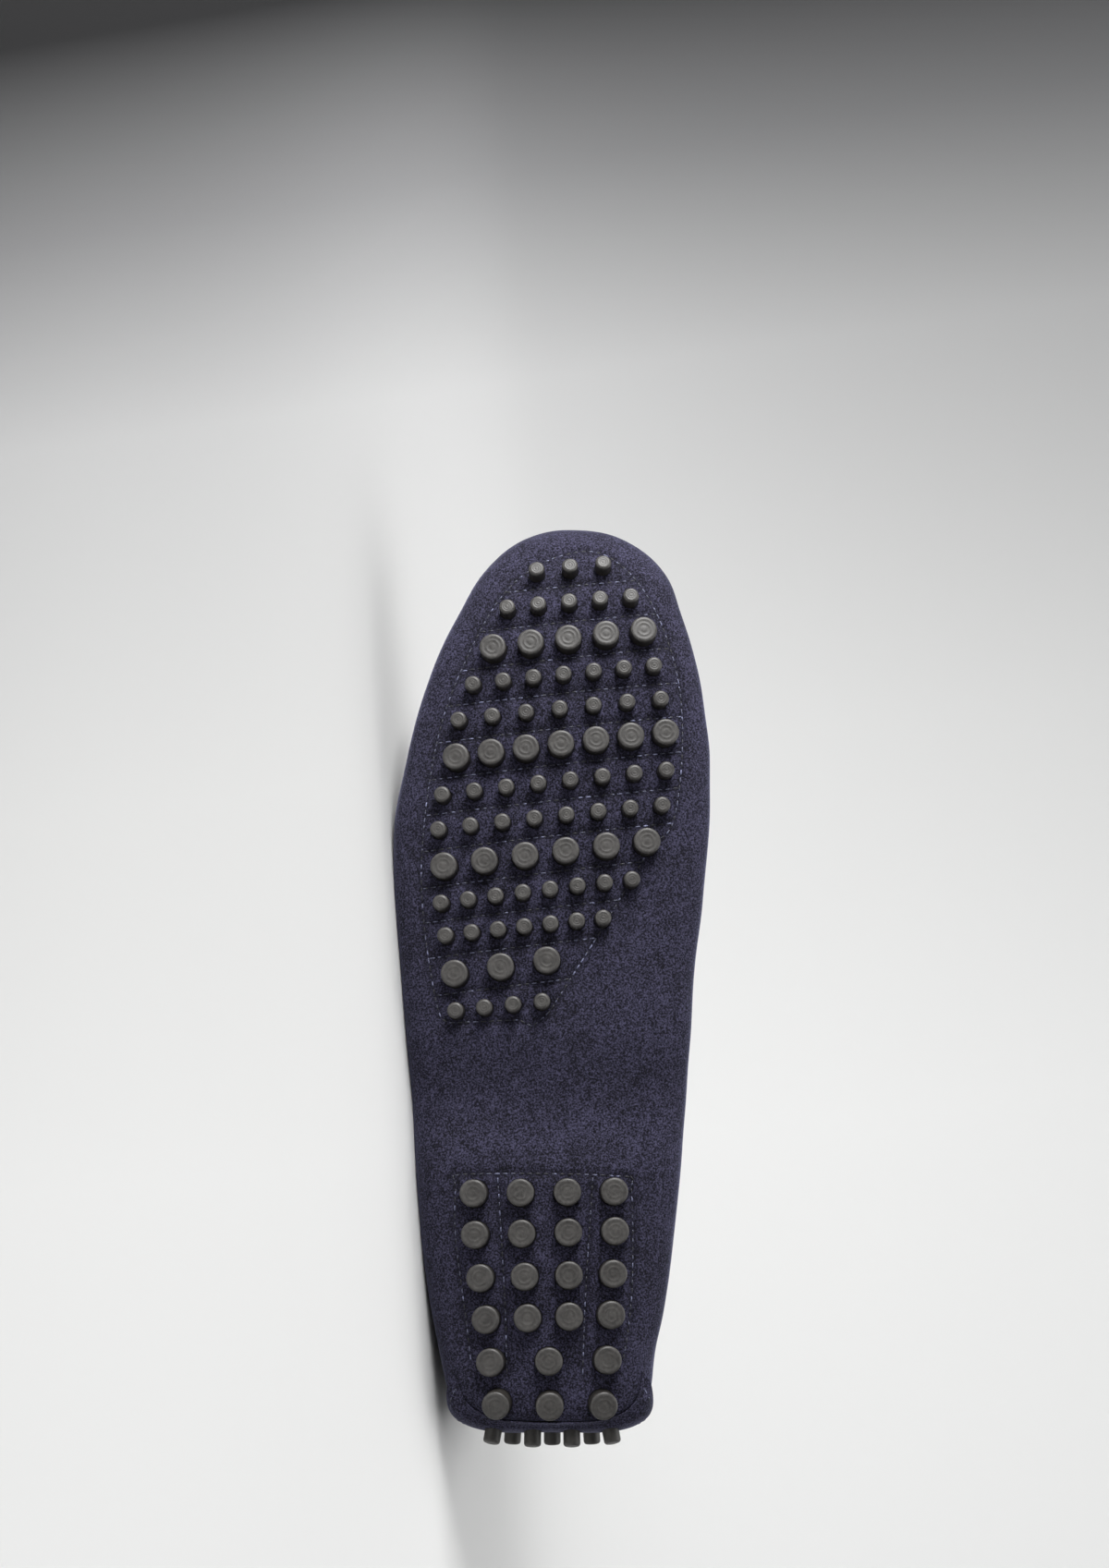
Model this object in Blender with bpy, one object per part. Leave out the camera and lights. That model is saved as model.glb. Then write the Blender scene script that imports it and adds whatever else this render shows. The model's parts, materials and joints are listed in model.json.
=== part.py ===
"""Right driving moccasin of suede with rubber pegs, empty, lying on its outer side.

The shoe is modelled in its last's frame, in metres: X runs from heel to toe, Y from the outer
to the inner side, Z from the tips of the pegs upwards. The suede wrap is drawn as rings round the
plan outline: a ring is the outline drawn in by an inset, at a height. At the end an empty turns
the whole shoe on to its side, on the face of its convex hull that its weight falls inside.
"""

import bisect
import math

import bmesh
import bpy
from mathutils import Matrix, Vector

# The last
LENGTH = 0.288
BALL_HALF_WIDTH = 0.050
COLLAR_HEIGHT = 0.0575
BULGE_HEIGHT = 0.0118
TOE_ROUND_FROM = 0.70
TOE_ROUND_POWER = 2.2
HEEL_ROUND_TO = 0.070
HEEL_ROUND_POWER = 3.4
FEATHER_INSET = 0.0140
HEEL_FEATHER_INSET = 0.0105
HEEL_FEATHER_TO = 0.16
EDGE_POWER = 2.4
BOTTOM_CROWN = 0.0032
TOE_SPRING = 0.0100
TOE_SPRING_FROM = 0.78
TOE_SPRING_POWER = 2.6
ARCH_RISE = 0.0025
ARCH_FROM = 0.26
ARCH_TO = 0.43
THROAT_AT = 0.585
LIP_TURNS_FROM = 0.22

# Material thicknesses and clearances
SUEDE = 0.0016
RUBBER_BACKING = 0.0014
INSOLE_THICKNESS = 0.0022
GAP = 0.0003
STRIP_GAP = 0.0004
BOTTOM_GAP = 0.0004
INSOLE_GAP = 0.0006

# Pegs
PEG_HEIGHT = 0.0045
LARGE_PEG_DIAMETER = 0.0085
SMALL_PEG_DIAMETER = 0.0052
PEG_HOLE_CLEARANCE = 0.0003

# The raised seam, the apron, the binding, the insole and the heel tab
SEAM_LIP = 0.0026
SEAM_GAP = 0.0004
APRON_CROWN = 0.0120
APRON_TOE_CROWN = 0.0035
BINDING_THICKNESS = 0.0009
BINDING_DEPTH = 0.0022
BINDING_END = 0.15
INSOLE_INSET = 0.0078
TAB_THICKNESS = 0.0013
STRIP_THICKNESS = 0.0009
TAB_FOOT_HALF_WIDTH = 0.0400
TAB_TOP_HALF_WIDTH = 0.0130
TAB_FOOT_LEVEL = -0.44
TAB_TOP_LEVEL = 0.84
STRIP_HALF_WIDTH = 0.0232
STRIP_FOOT_LEVEL = -0.36
STRIP_TOP_LEVEL = 0.30
RECESS_FADE = 0.0560
RECESS_FROM = -0.74
RECESS_TO = -0.46
TAB_SETTLES_FROM = 0.0060
TAB_SETTLES_TO = 0.0140
TAB_CLOSES_FROM = 0.13
TAB_CLOSES_TO = 0.34
PEG_ROOT_SHARE = 0.6
THROAT_SET_BACK = 0.0100

# How finely the faceted solids are drawn
RING_POINTS = 60
WRAP_LEVELS = [1.0, 0.74, 0.44, 0.14, -0.18, -0.46, -0.70, -0.86, -1.0]
FOREFOOT_GRID = (13, 7)
HEEL_GRID = (7, 5)
STRIP_GRID = (5, 10)
TAB_GRID = (10, 12)
BEND_SPACING = 0.015
ACROSS = 6
DENSE_POINTS = 720
PEG_SIDES = 6
SLOPE_STEP = 0.001
WELD_DISTANCE = 1e-6

# The shoe lies on a face of its hull that looks at least this far towards its outer side
OUTER_SIDE = -0.5

# What a facetted peg's radius gains, so that its end has the area of a round one
PEG_FACET_GAIN = math.sqrt(2 * math.pi / (PEG_SIDES * math.sin(2 * math.pi / PEG_SIDES)))

# Weight of each material, kg per cubic metre, for finding the face that the shoe lies on
SUEDE_DENSITY = 800.0
RUBBER_DENSITY = 1150.0

# Plan of the last. Centre and half width are shares of BALL_HALF_WIDTH; the ends are rounded after.
PLAN = [
    {"share": 0.000, "centre": 0.020, "half": 0.640},
    {"share": 0.050, "centre": 0.000, "half": 0.645},
    {"share": 0.086, "centre": -0.010, "half": 0.668},
    {"share": 0.125, "centre": -0.008, "half": 0.718},
    {"share": 0.164, "centre": -0.008, "half": 0.754},
    {"share": 0.240, "centre": -0.006, "half": 0.806},
    {"share": 0.320, "centre": -0.004, "half": 0.848},
    {"share": 0.400, "centre": 0.000, "half": 0.884},
    {"share": 0.480, "centre": -0.010, "half": 0.922},
    {"share": 0.565, "centre": -0.004, "half": 0.974},
    {"share": 0.648, "centre": 0.016, "half": 1.004},
    {"share": 0.730, "centre": 0.056, "half": 0.976},
    {"share": 0.774, "centre": 0.076, "half": 0.950},
    {"share": 0.817, "centre": 0.096, "half": 0.931},
    {"share": 0.860, "centre": 0.116, "half": 0.911},
    {"share": 0.900, "centre": 0.140, "half": 0.902},
    {"share": 0.940, "centre": 0.160, "half": 0.933},
    {"share": 1.000, "centre": 0.162, "half": 0.950},
]

# Walls of the wrap above its bottom: the widest line, the rim's height and inset, the angle that
# the wall has turned through at the rim, and how flat it is on the way. Shares of BULGE_HEIGHT,
# COLLAR_HEIGHT and BALL_HALF_WIDTH.
WALLS = [
    {"share": 0.00, "bulge": 1.10, "rim": 1.000, "inset": 0.09, "lean": 25, "flat": 0.50},
    {"share": 0.10, "bulge": 1.08, "rim": 0.985, "inset": 0.14, "lean": 25, "flat": 0.75},
    {"share": 0.20, "bulge": 1.05, "rim": 0.920, "inset": 0.21, "lean": 25, "flat": 0.90},
    {"share": 0.32, "bulge": 1.00, "rim": 0.850, "inset": 0.26, "lean": 30, "flat": 0.90},
    {"share": 0.42, "bulge": 0.96, "rim": 0.830, "inset": 0.30, "lean": 35, "flat": 0.85},
    {"share": 0.52, "bulge": 0.93, "rim": 0.865, "inset": 0.36, "lean": 45, "flat": 0.70},
    {"share": 0.585, "bulge": 0.92, "rim": 0.880, "inset": 0.40, "lean": 52, "flat": 0.50},
    {"share": 0.66, "bulge": 0.90, "rim": 0.790, "inset": 0.43, "lean": 60, "flat": 0.25},
    {"share": 0.76, "bulge": 0.89, "rim": 0.640, "inset": 0.42, "lean": 64, "flat": 0.08},
    {"share": 0.86, "bulge": 0.87, "rim": 0.515, "inset": 0.38, "lean": 66, "flat": 0.00},
    {"share": 0.94, "bulge": 0.84, "rim": 0.430, "inset": 0.34, "lean": 66, "flat": 0.00},
    {"share": 1.00, "bulge": 0.80, "rim": 0.385, "inset": 0.31, "lean": 64, "flat": 0.00},
]

# Peg rows, heel to toe: the plan places of the outer and the inner peg, as shares of LENGTH along
# and of BALL_HALF_WIDTH across. The pegs between them are evenly spaced.
FOREFOOT_ROWS = [
    {"kind": "small", "count": 4, "outer": (0.4440, -0.582), "inner": (0.4535, -0.044)},
    {"kind": "large", "count": 3, "outer": (0.4840, -0.590), "inner": (0.4980, -0.014)},
    {"kind": "small", "count": 7, "outer": (0.5255, -0.648), "inner": (0.5440, 0.338)},
    {"kind": "small", "count": 8, "outer": (0.5610, -0.678), "inner": (0.5865, 0.520)},
    {"kind": "large", "count": 6, "outer": (0.6015, -0.662), "inner": (0.6285, 0.616)},
    {"kind": "small", "count": 8, "outer": (0.6420, -0.698), "inner": (0.6690, 0.714)},
    {"kind": "small", "count": 8, "outer": (0.6805, -0.676), "inner": (0.7080, 0.742)},
    {"kind": "large", "count": 7, "outer": (0.7225, -0.590), "inner": (0.7500, 0.740)},
    {"kind": "small", "count": 7, "outer": (0.7640, -0.576), "inner": (0.7875, 0.710)},
    {"kind": "small", "count": 7, "outer": (0.8040, -0.486), "inner": (0.8255, 0.668)},
    {"kind": "large", "count": 5, "outer": (0.8460, -0.360), "inner": (0.8660, 0.604)},
    {"kind": "small", "count": 5, "outer": (0.8925, -0.270), "inner": (0.9060, 0.524)},
    {"kind": "small", "count": 3, "outer": (0.9380, -0.082), "inner": (0.9460, 0.348)},
]
HEEL_ROWS = [
    {"kind": "large", "count": 3, "outer": (0.0280, -0.326), "inner": (0.0280, 0.336)},
    {"kind": "large", "count": 3, "outer": (0.0740, -0.358), "inner": (0.0765, 0.358)},
    {"kind": "large", "count": 4, "outer": (0.1180, -0.386), "inner": (0.1230, 0.380)},
    {"kind": "large", "count": 4, "outer": (0.1610, -0.420), "inner": (0.1655, 0.394)},
    {"kind": "large", "count": 4, "outer": (0.2060, -0.454), "inner": (0.2100, 0.406)},
    {"kind": "large", "count": 4, "outer": (0.2495, -0.464), "inner": (0.2515, 0.402)},
]
# Rows on the heel tab: level up the wall, and the outermost peg's distance round the heel.
BACK_ROWS = [
    {"count": 4, "level": -0.20, "reach": 0.0180},
    {"count": 3, "level": 0.14, "reach": 0.0122},
]

# Rubber backings of the pegs: plan edges, as shares of LENGTH and BALL_HALF_WIDTH.
FOREFOOT_BACKING = [
    {"share": 0.425, "outer": -0.720, "inner": 0.080},
    {"share": 0.475, "outer": -0.760, "inner": 0.110},
    {"share": 0.510, "outer": -0.790, "inner": 0.200},
    {"share": 0.530, "outer": -0.800, "inner": 0.440},
    {"share": 0.580, "outer": -0.815, "inner": 0.650},
    {"share": 0.625, "outer": -0.820, "inner": 0.770},
    {"share": 0.680, "outer": -0.800, "inner": 0.850},
    {"share": 0.740, "outer": -0.740, "inner": 0.870},
    {"share": 0.790, "outer": -0.680, "inner": 0.850},
    {"share": 0.840, "outer": -0.570, "inner": 0.800},
    {"share": 0.890, "outer": -0.420, "inner": 0.720},
    {"share": 0.930, "outer": -0.260, "inner": 0.580},
    {"share": 0.960, "outer": -0.100, "inner": 0.400},
]
HEEL_BACKING = [
    {"share": 0.030, "outer": -0.370, "inner": 0.380},
    {"share": 0.060, "outer": -0.450, "inner": 0.450},
    {"share": 0.120, "outer": -0.500, "inner": 0.500},
    {"share": 0.200, "outer": -0.570, "inner": 0.530},
    {"share": 0.275, "outer": -0.590, "inner": 0.530},
]


def smooth_value(rows, column, share):
    """Value of a table's column at a share of the length, on a curve through its rows."""
    shares = [row["share"] for row in rows]
    values = [row[column] for row in rows]
    share = min(max(share, shares[0]), shares[-1])
    i = min(max(bisect.bisect_right(shares, share) - 1, 0), len(rows) - 2)

    def slope(k):
        low = max(k - 1, 0)
        high = min(k + 1, len(rows) - 1)
        return (values[high] - values[low]) / (shares[high] - shares[low])

    span = shares[i + 1] - shares[i]
    t = (share - shares[i]) / span
    start = values[i] * (2 * t**3 - 3 * t**2 + 1) + slope(i) * span * (t**3 - 2 * t**2 + t)
    end = values[i + 1] * (3 * t**2 - 2 * t**3) + slope(i + 1) * span * (t**3 - t**2)
    return start + end


def smoothstep(low, high, value):
    t = min(max((value - low) / (high - low), 0.0), 1.0)
    return t * t * (3 - 2 * t)


def centre(share):
    return BALL_HALF_WIDTH * smooth_value(PLAN, "centre", share)


def straight_half_width(share):
    """Half width of the plan before its ends are rounded."""
    return BALL_HALF_WIDTH * smooth_value(PLAN, "half", share)


def end_rounding(share):
    """What the round toe and heel leave of the half width."""
    if share > TOE_ROUND_FROM:
        t = min((share - TOE_ROUND_FROM) / (1 - TOE_ROUND_FROM), 1.0)
        return (1 - t**TOE_ROUND_POWER) ** (1 / TOE_ROUND_POWER)
    if share < HEEL_ROUND_TO:
        t = min((HEEL_ROUND_TO - share) / HEEL_ROUND_TO, 1.0)
        return (1 - t**HEEL_ROUND_POWER) ** (1 / HEEL_ROUND_POWER)
    return 1.0


def half_width(share):
    return straight_half_width(share) * end_rounding(share)


def share_of(turn):
    """Share of the length at a turn round the outline: 0 at the heel, 0.5 at the toe."""
    return 0.5 - 0.5 * math.cos(2 * math.pi * turn)


def plan_point(turn, inset):
    """Plan place on the outline drawn in by inset. Turns below 0.5 are the inner side."""
    share = share_of(turn)
    side = 1 if turn % 1.0 <= 0.5 else -1
    across = side * half_width(share) * (1 - inset / straight_half_width(share))
    along = LENGTH / 2 + (share - 0.5) * (LENGTH - 2 * inset)
    return along, centre(share) + across


def bottom_height(x, y):
    """Height of the bare bottom of the wrap, before its edge turns up."""
    share = min(max(x / LENGTH, 0.0), 1.0)
    toe = max((share - TOE_SPRING_FROM) / (1 - TOE_SPRING_FROM), 0.0)
    arch = min(max((share - ARCH_FROM) / (ARCH_TO - ARCH_FROM), 0.0), 1.0)
    crown = (y - centre(share)) / straight_half_width(share)
    return (
        PEG_HEIGHT
        + TOE_SPRING * toe**TOE_SPRING_POWER
        + ARCH_RISE * math.sin(math.pi * arch) ** 2
        + BOTTOM_CROWN * crown**2
    )


def feather_inset(share):
    wider = smoothstep(0, HEEL_FEATHER_TO, share)
    return HEEL_FEATHER_INSET + (FEATHER_INSET - HEEL_FEATHER_INSET) * wider


def edge_rise(share, x, y, inset):
    """Height of the wrap between the feather line and the widest line."""
    low = bottom_height(x, y)
    bulge = bottom_height(x, centre(share)) + BULGE_HEIGHT * smooth_value(WALLS, "bulge", share)
    t = min(max(1 - inset / feather_inset(share), 0.0), 1.0)
    return low + (bulge - low) * (1 - (1 - t**EDGE_POWER) ** (1 / EDGE_POWER))


def inset_at(x, y):
    """Inset of the ring that passes through a plan place, found by halving."""
    low, high = 0.0, BALL_HALF_WIDTH
    for _ in range(25):
        inset = (low + high) / 2
        share = 0.5 + (x - LENGTH / 2) / (LENGTH - 2 * inset)
        width = half_width(share) * (1 - inset / straight_half_width(share)) if 0 < share < 1 else 0.0
        if abs(y - centre(share)) < width:
            low = inset
        else:
            high = inset
    return low


def sole_point(x, y):
    """Place and outward normal on the outside of the wrap's bottom."""

    def height(px, py):
        inset = inset_at(px, py)
        share = min(max(0.5 + (px - LENGTH / 2) / (LENGTH - 2 * inset), 0.0), 1.0)
        return edge_rise(share, px, py, inset)

    step = SLOPE_STEP
    slope_x = (height(x + step, y) - height(x - step, y)) / (2 * step)
    slope_y = (height(x, y + step) - height(x, y - step)) / (2 * step)
    return Vector((x, y, height(x, y))), Vector((slope_x, slope_y, -1)).normalized()


def tab_stack():
    """Depth of what lies on the back of the heel: strip and tab, with their gaps."""
    return STRIP_GAP + STRIP_THICKNESS + STRIP_GAP + TAB_THICKNESS


def wall_point(turn, level):
    """Place on the outside of the wrap: level -1 is the feather line, 0 the widest, 1 the rim."""
    share = share_of(turn)
    if level < 0:
        t = math.sin((level + 1) * math.pi / 2) ** (2 / EDGE_POWER)
        inset = feather_inset(share) * (1 - t)
        x, y = plan_point(turn, inset)
        height = edge_rise(share, x, y, inset)
    else:
        lean = math.radians(smooth_value(WALLS, "lean", share))
        rim_inset = BALL_HALF_WIDTH * smooth_value(WALLS, "inset", share)
        flat = smooth_value(WALLS, "flat", share)
        turned = (1 - math.cos(level * lean)) / (1 - math.cos(lean))
        inset = rim_inset * (flat * level + (1 - flat) * turned)
        x, y = plan_point(turn, inset)
        floor = bottom_height(LENGTH * share, centre(share))
        bulge = BULGE_HEIGHT * smooth_value(WALLS, "bulge", share)
        rim = COLLAR_HEIGHT * smooth_value(WALLS, "rim", share)
        height = floor + bulge + (rim - bulge) * math.sin(level * lean) / math.sin(lean)
    return Vector((x, y, height))


def wall_frame(turn, level):
    """Place on the wrap with its outward normal and the way up the wall, square to the ring."""
    step = 0.002
    here = wall_point(turn, level)
    along = wall_point(turn + step, level) - wall_point(turn - step, level)
    up = wall_point(turn, min(level + step * 5, 1.0)) - wall_point(turn, max(level - step * 5, -1.0))
    normal = up.cross(along).normalized()
    return here, normal, along.cross(normal).normalized()


OUTLINE_TURNS = [i / DENSE_POINTS for i in range(DENSE_POINTS // 2 + 1)]
THROAT_TURN = math.acos(1 - 2 * THROAT_AT) / (2 * math.pi)


def outline_lengths(bend_spacing):
    """Distance round the plan outline at each of OUTLINE_TURNS, plus bend_spacing a radian turned."""
    lengths, heading = [0.0], math.pi / 2
    for a, b in zip(OUTLINE_TURNS, OUTLINE_TURNS[1:]):
        step_x = LENGTH * (share_of(b) - share_of(a))
        step_y = half_width(share_of(b)) - half_width(share_of(a))
        bend = abs(math.atan2(step_y, step_x) - heading)
        heading = math.atan2(step_y, step_x)
        lengths.append(lengths[-1] + math.hypot(step_x, step_y) + bend_spacing * bend)
    return lengths


OUTLINE_LENGTHS = outline_lengths(0)
STATION_LENGTHS = outline_lengths(BEND_SPACING)


def turn_at(distance, lengths=OUTLINE_LENGTHS):
    """Turn at a distance round the outline from the heel; the outer side is below zero."""
    i = min(max(bisect.bisect_right(lengths, abs(distance)) - 1, 0), len(lengths) - 2)
    t = (abs(distance) - lengths[i]) / (lengths[i + 1] - lengths[i])
    turn = OUTLINE_TURNS[i] + t * (OUTLINE_TURNS[i + 1] - OUTLINE_TURNS[i])
    return turn if distance >= 0 else -turn


def recess(distance, level):
    """How far the wrap stands back under the strip and the tab behind the heel."""
    round_heel = math.cos(math.pi / 2 * min(abs(distance) / RECESS_FADE, 1.0)) ** 2
    return tab_stack() * round_heel * smoothstep(RECESS_FROM, RECESS_TO, level)


def ring_turns():
    """Turns round the outline, closer at its bends, with a station at each end of the throat."""
    half = RING_POINTS // 2
    total = STATION_LENGTHS[-1]
    throat = STATION_LENGTHS[bisect.bisect_right(OUTLINE_TURNS, THROAT_TURN)]
    behind = round(half * throat / total)
    lengths = [throat * k / behind for k in range(behind)]
    lengths += [throat + (total - throat) * k / (half - behind) for k in range(half - behind + 1)]
    inner = [turn_at(length, STATION_LENGTHS) for length in lengths]
    outer = [1 - turn for turn in reversed(inner[1:-1])]
    return inner + outer, behind


def distance_of(turn):
    """Distance round the outline from the heel, on either side."""
    turn = turn % 1.0
    turn = min(turn, 1 - turn)
    i = min(int(turn * DENSE_POINTS), len(OUTLINE_LENGTHS) - 2)
    t = turn * DENSE_POINTS - i
    return OUTLINE_LENGTHS[i] + t * (OUTLINE_LENGTHS[i + 1] - OUTLINE_LENGTHS[i])


def wrap_point(turn, level):
    """Place on the outside of the wrap as it is cut, with its recess behind the heel."""
    here, normal, _ = wall_frame(turn, level)
    return here - normal * recess(distance_of(turn), level)


def rim_frame(turn):
    """The rim's place, the way its lip stands, and the way out from the lip, square to the ring."""
    _, normal, up = wall_frame(turn, 1.0)
    seam = smoothstep(LIP_TURNS_FROM, THROAT_AT, share_of(turn))
    lip = (up * (1 - seam) + normal * seam).normalized()
    return wrap_point(turn, 1.0), lip, lip.cross(normal.cross(up))


def filled_grid(bottom, top, left, right):
    """Grid of points inside four edges, blended from them. Edges run left to right and upwards."""
    columns, rows = len(bottom) - 1, len(left) - 1
    grid = []
    for j in range(rows + 1):
        v = j / rows
        line = []
        for i in range(columns + 1):
            u = i / columns
            across = left[j] * (1 - u) + right[j] * u
            along = bottom[i] * (1 - v) + top[i] * v
            corners = (
                (bottom[0] * (1 - u) + bottom[-1] * u) * (1 - v)
                + (top[0] * (1 - u) + top[-1] * u) * v
            )
            line.append(across + along - corners)
        grid.append(line)
    return grid


def close_wall(bm, thickness):
    """Closes an open sheet into a wall that lies on the side away from its normals."""
    bm.normal_update()
    faces, border = list(bm.faces), [edge for edge in bm.edges if edge.is_boundary]
    inside = {}
    for vert in list(bm.verts):
        corners = [(loop.calc_angle(), loop.face.normal) for loop in vert.link_loops]
        normal = sum((turn * across for turn, across in corners), Vector()).normalized()
        spread = sum(turn * across.dot(normal) for turn, across in corners)
        spread /= sum(turn for turn, _ in corners)
        inside[vert] = bm.verts.new(vert.co - normal * thickness / max(spread, 0.6))
    for face in faces:
        bm.faces.new([inside[vert] for vert in reversed(face.verts)])
    for edge in border:
        a = edge.link_loops[0].vert
        b = edge.other_vert(a)
        bm.faces.new((b, a, inside[a], inside[b]))


def new_object(name, mesh_builder, material=None, parent=None, thickness=None):
    """An object from a bmesh that mesh_builder fills, closed into a wall if it has a thickness."""
    bm = bmesh.new()
    mesh_builder(bm)
    if thickness:
        close_wall(bm, thickness)
    mesh = bpy.data.meshes.new(name)
    bm.to_mesh(mesh)
    bm.free()
    mesh.shade_smooth()
    obj = bpy.data.objects.new(name, mesh)
    bpy.context.scene.collection.objects.link(obj)
    obj.parent = parent
    if material:
        mesh.materials.append(material)
    return obj


def make_material(name, colour, roughness):
    material = bpy.data.materials.new(name)
    material.use_nodes = True
    shader = material.node_tree.nodes["Principled BSDF"]
    shader.inputs["Base Color"].default_value = (*colour, 1)
    shader.inputs["Roughness"].default_value = roughness
    shader.inputs["Metallic"].default_value = 0
    return material


def combine(obj, other, operation):
    """A Boolean with a helper that isn't drawn."""
    boolean = obj.modifiers.new(operation.lower(), "BOOLEAN")
    boolean.operation = operation
    boolean.object = other
    other.hide_render = True
    other.display_type = "WIRE"


def join_rings(bm, rings):
    """Faces between rings that lie one inside the next, facing out."""
    for upper, lower in zip(rings, rings[1:]):
        for i, vert in enumerate(upper):
            j = (i + 1) % len(upper)
            bm.faces.new((vert, upper[j], lower[j], lower[i]))


def fill_bottom(bm, ring, height):
    """Faces over the inside of the last ring, facing down, at a height given by the plan place."""
    count = len(ring)
    half, side = ACROSS // 2, count // 2 - ACROSS
    heel = [ring[i % count] for i in range(half, -half - 1, -1)]
    toe = [ring[i] for i in range(count // 2 - half, count // 2 + half + 1)]
    inner = [ring[half + k] for k in range(side + 1)]
    outer = [ring[count - half - k] for k in range(side + 1)]
    grid = filled_grid(*([v.co.copy() for v in edge] for edge in (heel, toe, inner, outer)))
    verts = []
    for k in range(side + 1):
        if k in (0, side):
            verts.append(heel if k == 0 else toe)
            continue
        middle = [bm.verts.new((p.x, p.y, height(p.x, p.y))) for p in grid[k][1:-1]]
        verts.append([inner[k], *middle, outer[k]])
    for k in range(side):
        for i in range(ACROSS):
            bm.faces.new((verts[k][i], verts[k + 1][i], verts[k + 1][i + 1], verts[k][i + 1]))


def build_wrap(bm):
    """The outside of the suede wrap: seam lip, walls, turned edge and bottom."""
    turns, _ = ring_turns()
    rings = [[here + lip * SEAM_LIP for here, lip, _ in map(rim_frame, turns)]]
    rings += [[wrap_point(turn, level) for turn in turns] for level in WRAP_LEVELS]
    rings = [[bm.verts.new(p) for p in ring] for ring in rings]
    join_rings(bm, rings)
    fill_bottom(bm, rings[-1], bottom_height)


def row_places(row):
    """Plan places of the pegs of a row."""
    (x0, y0), (x1, y1) = row["outer"], row["inner"]
    for k in range(row["count"]):
        t = k / (row["count"] - 1)
        yield LENGTH * (x0 + (x1 - x0) * t), BALL_HALF_WIDTH * (y0 + (y1 - y0) * t)


def bottom_pegs(rows):
    """Foot, direction and diameter of every peg on the bottom."""
    for row in rows:
        diameter = LARGE_PEG_DIAMETER if row["kind"] == "large" else SMALL_PEG_DIAMETER
        for x, y in row_places(row):
            place, normal = sole_point(x, y)
            # A row is set out where its tips stand, so the foot lies back along the peg.
            x -= normal.x * PEG_HEIGHT
            y -= normal.y * PEG_HEIGHT
            place, normal = sole_point(x, y)
            yield place, normal, diameter


def back_pegs():
    """Foot, direction and diameter of every peg on the heel tab."""
    for row in BACK_ROWS:
        for k in range(row["count"]):
            distance = row["reach"] * (2 * k / (row["count"] - 1) - 1)
            place, normal, _ = wall_frame(turn_at(distance), row["level"])
            yield place, normal, SMALL_PEG_DIAMETER


def build_cylinders(pegs, below, above, clearance):
    """Prisms along the pegs, from below the suede's outside to above it."""

    def build(bm):
        for place, normal, diameter in pegs:
            middle = place + normal * (above - below) / 2
            turn = normal.to_track_quat("Z", "Y").to_matrix().to_4x4()
            radius = diameter / 2 * PEG_FACET_GAIN + clearance
            bmesh.ops.create_cone(
                bm, cap_ends=True, segments=PEG_SIDES, radius1=radius, radius2=radius,
                depth=above + below, matrix=Matrix.Translation(middle) @ turn,
            )

    return build


def build_backing(rows, depth, grid_size):
    """Underside of a rubber backing, lying in the wrap, as a grid over its plan."""
    lines, columns = grid_size

    def build(bm):
        first, last = rows[0]["share"], rows[-1]["share"]
        grid = []
        for j in range(lines + 1):
            share = first + (last - first) * j / lines
            outer = BALL_HALF_WIDTH * smooth_value(rows, "outer", share)
            inner = BALL_HALF_WIDTH * smooth_value(rows, "inner", share)
            line = []
            for i in range(columns + 1):
                y = outer + (inner - outer) * i / columns
                place, normal = sole_point(LENGTH * share, y)
                line.append(bm.verts.new(place - normal * depth))
            grid.append(line)
        for j in range(lines):
            for i in range(columns):
                bm.faces.new((grid[j][i], grid[j][i + 1], grid[j + 1][i + 1], grid[j + 1][i]))

    return build


def build_insole(bm):
    """Underside of the insole, drawn in from the outline and clear of the turned edge."""
    turns, _ = ring_turns()
    depth = SUEDE + BOTTOM_GAP + RUBBER_BACKING + INSOLE_GAP
    rings = []
    for inset in (INSOLE_INSET, (INSOLE_INSET + FEATHER_INSET) / 2):
        ring = [sole_point(*plan_point(turn, inset)) for turn in turns]
        rings.append([bm.verts.new(place - normal * depth) for place, normal in ring])
    join_rings(bm, rings)
    fill_bottom(bm, rings[-1], lambda x, y: bottom_height(x, y) + depth)


def apron_crown(share):
    t = (share - THROAT_AT) / (1 - THROAT_AT)
    return APRON_CROWN + (APRON_TOE_CROWN - APRON_CROWN) * min(max(t, 0.0), 1.0)


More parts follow.
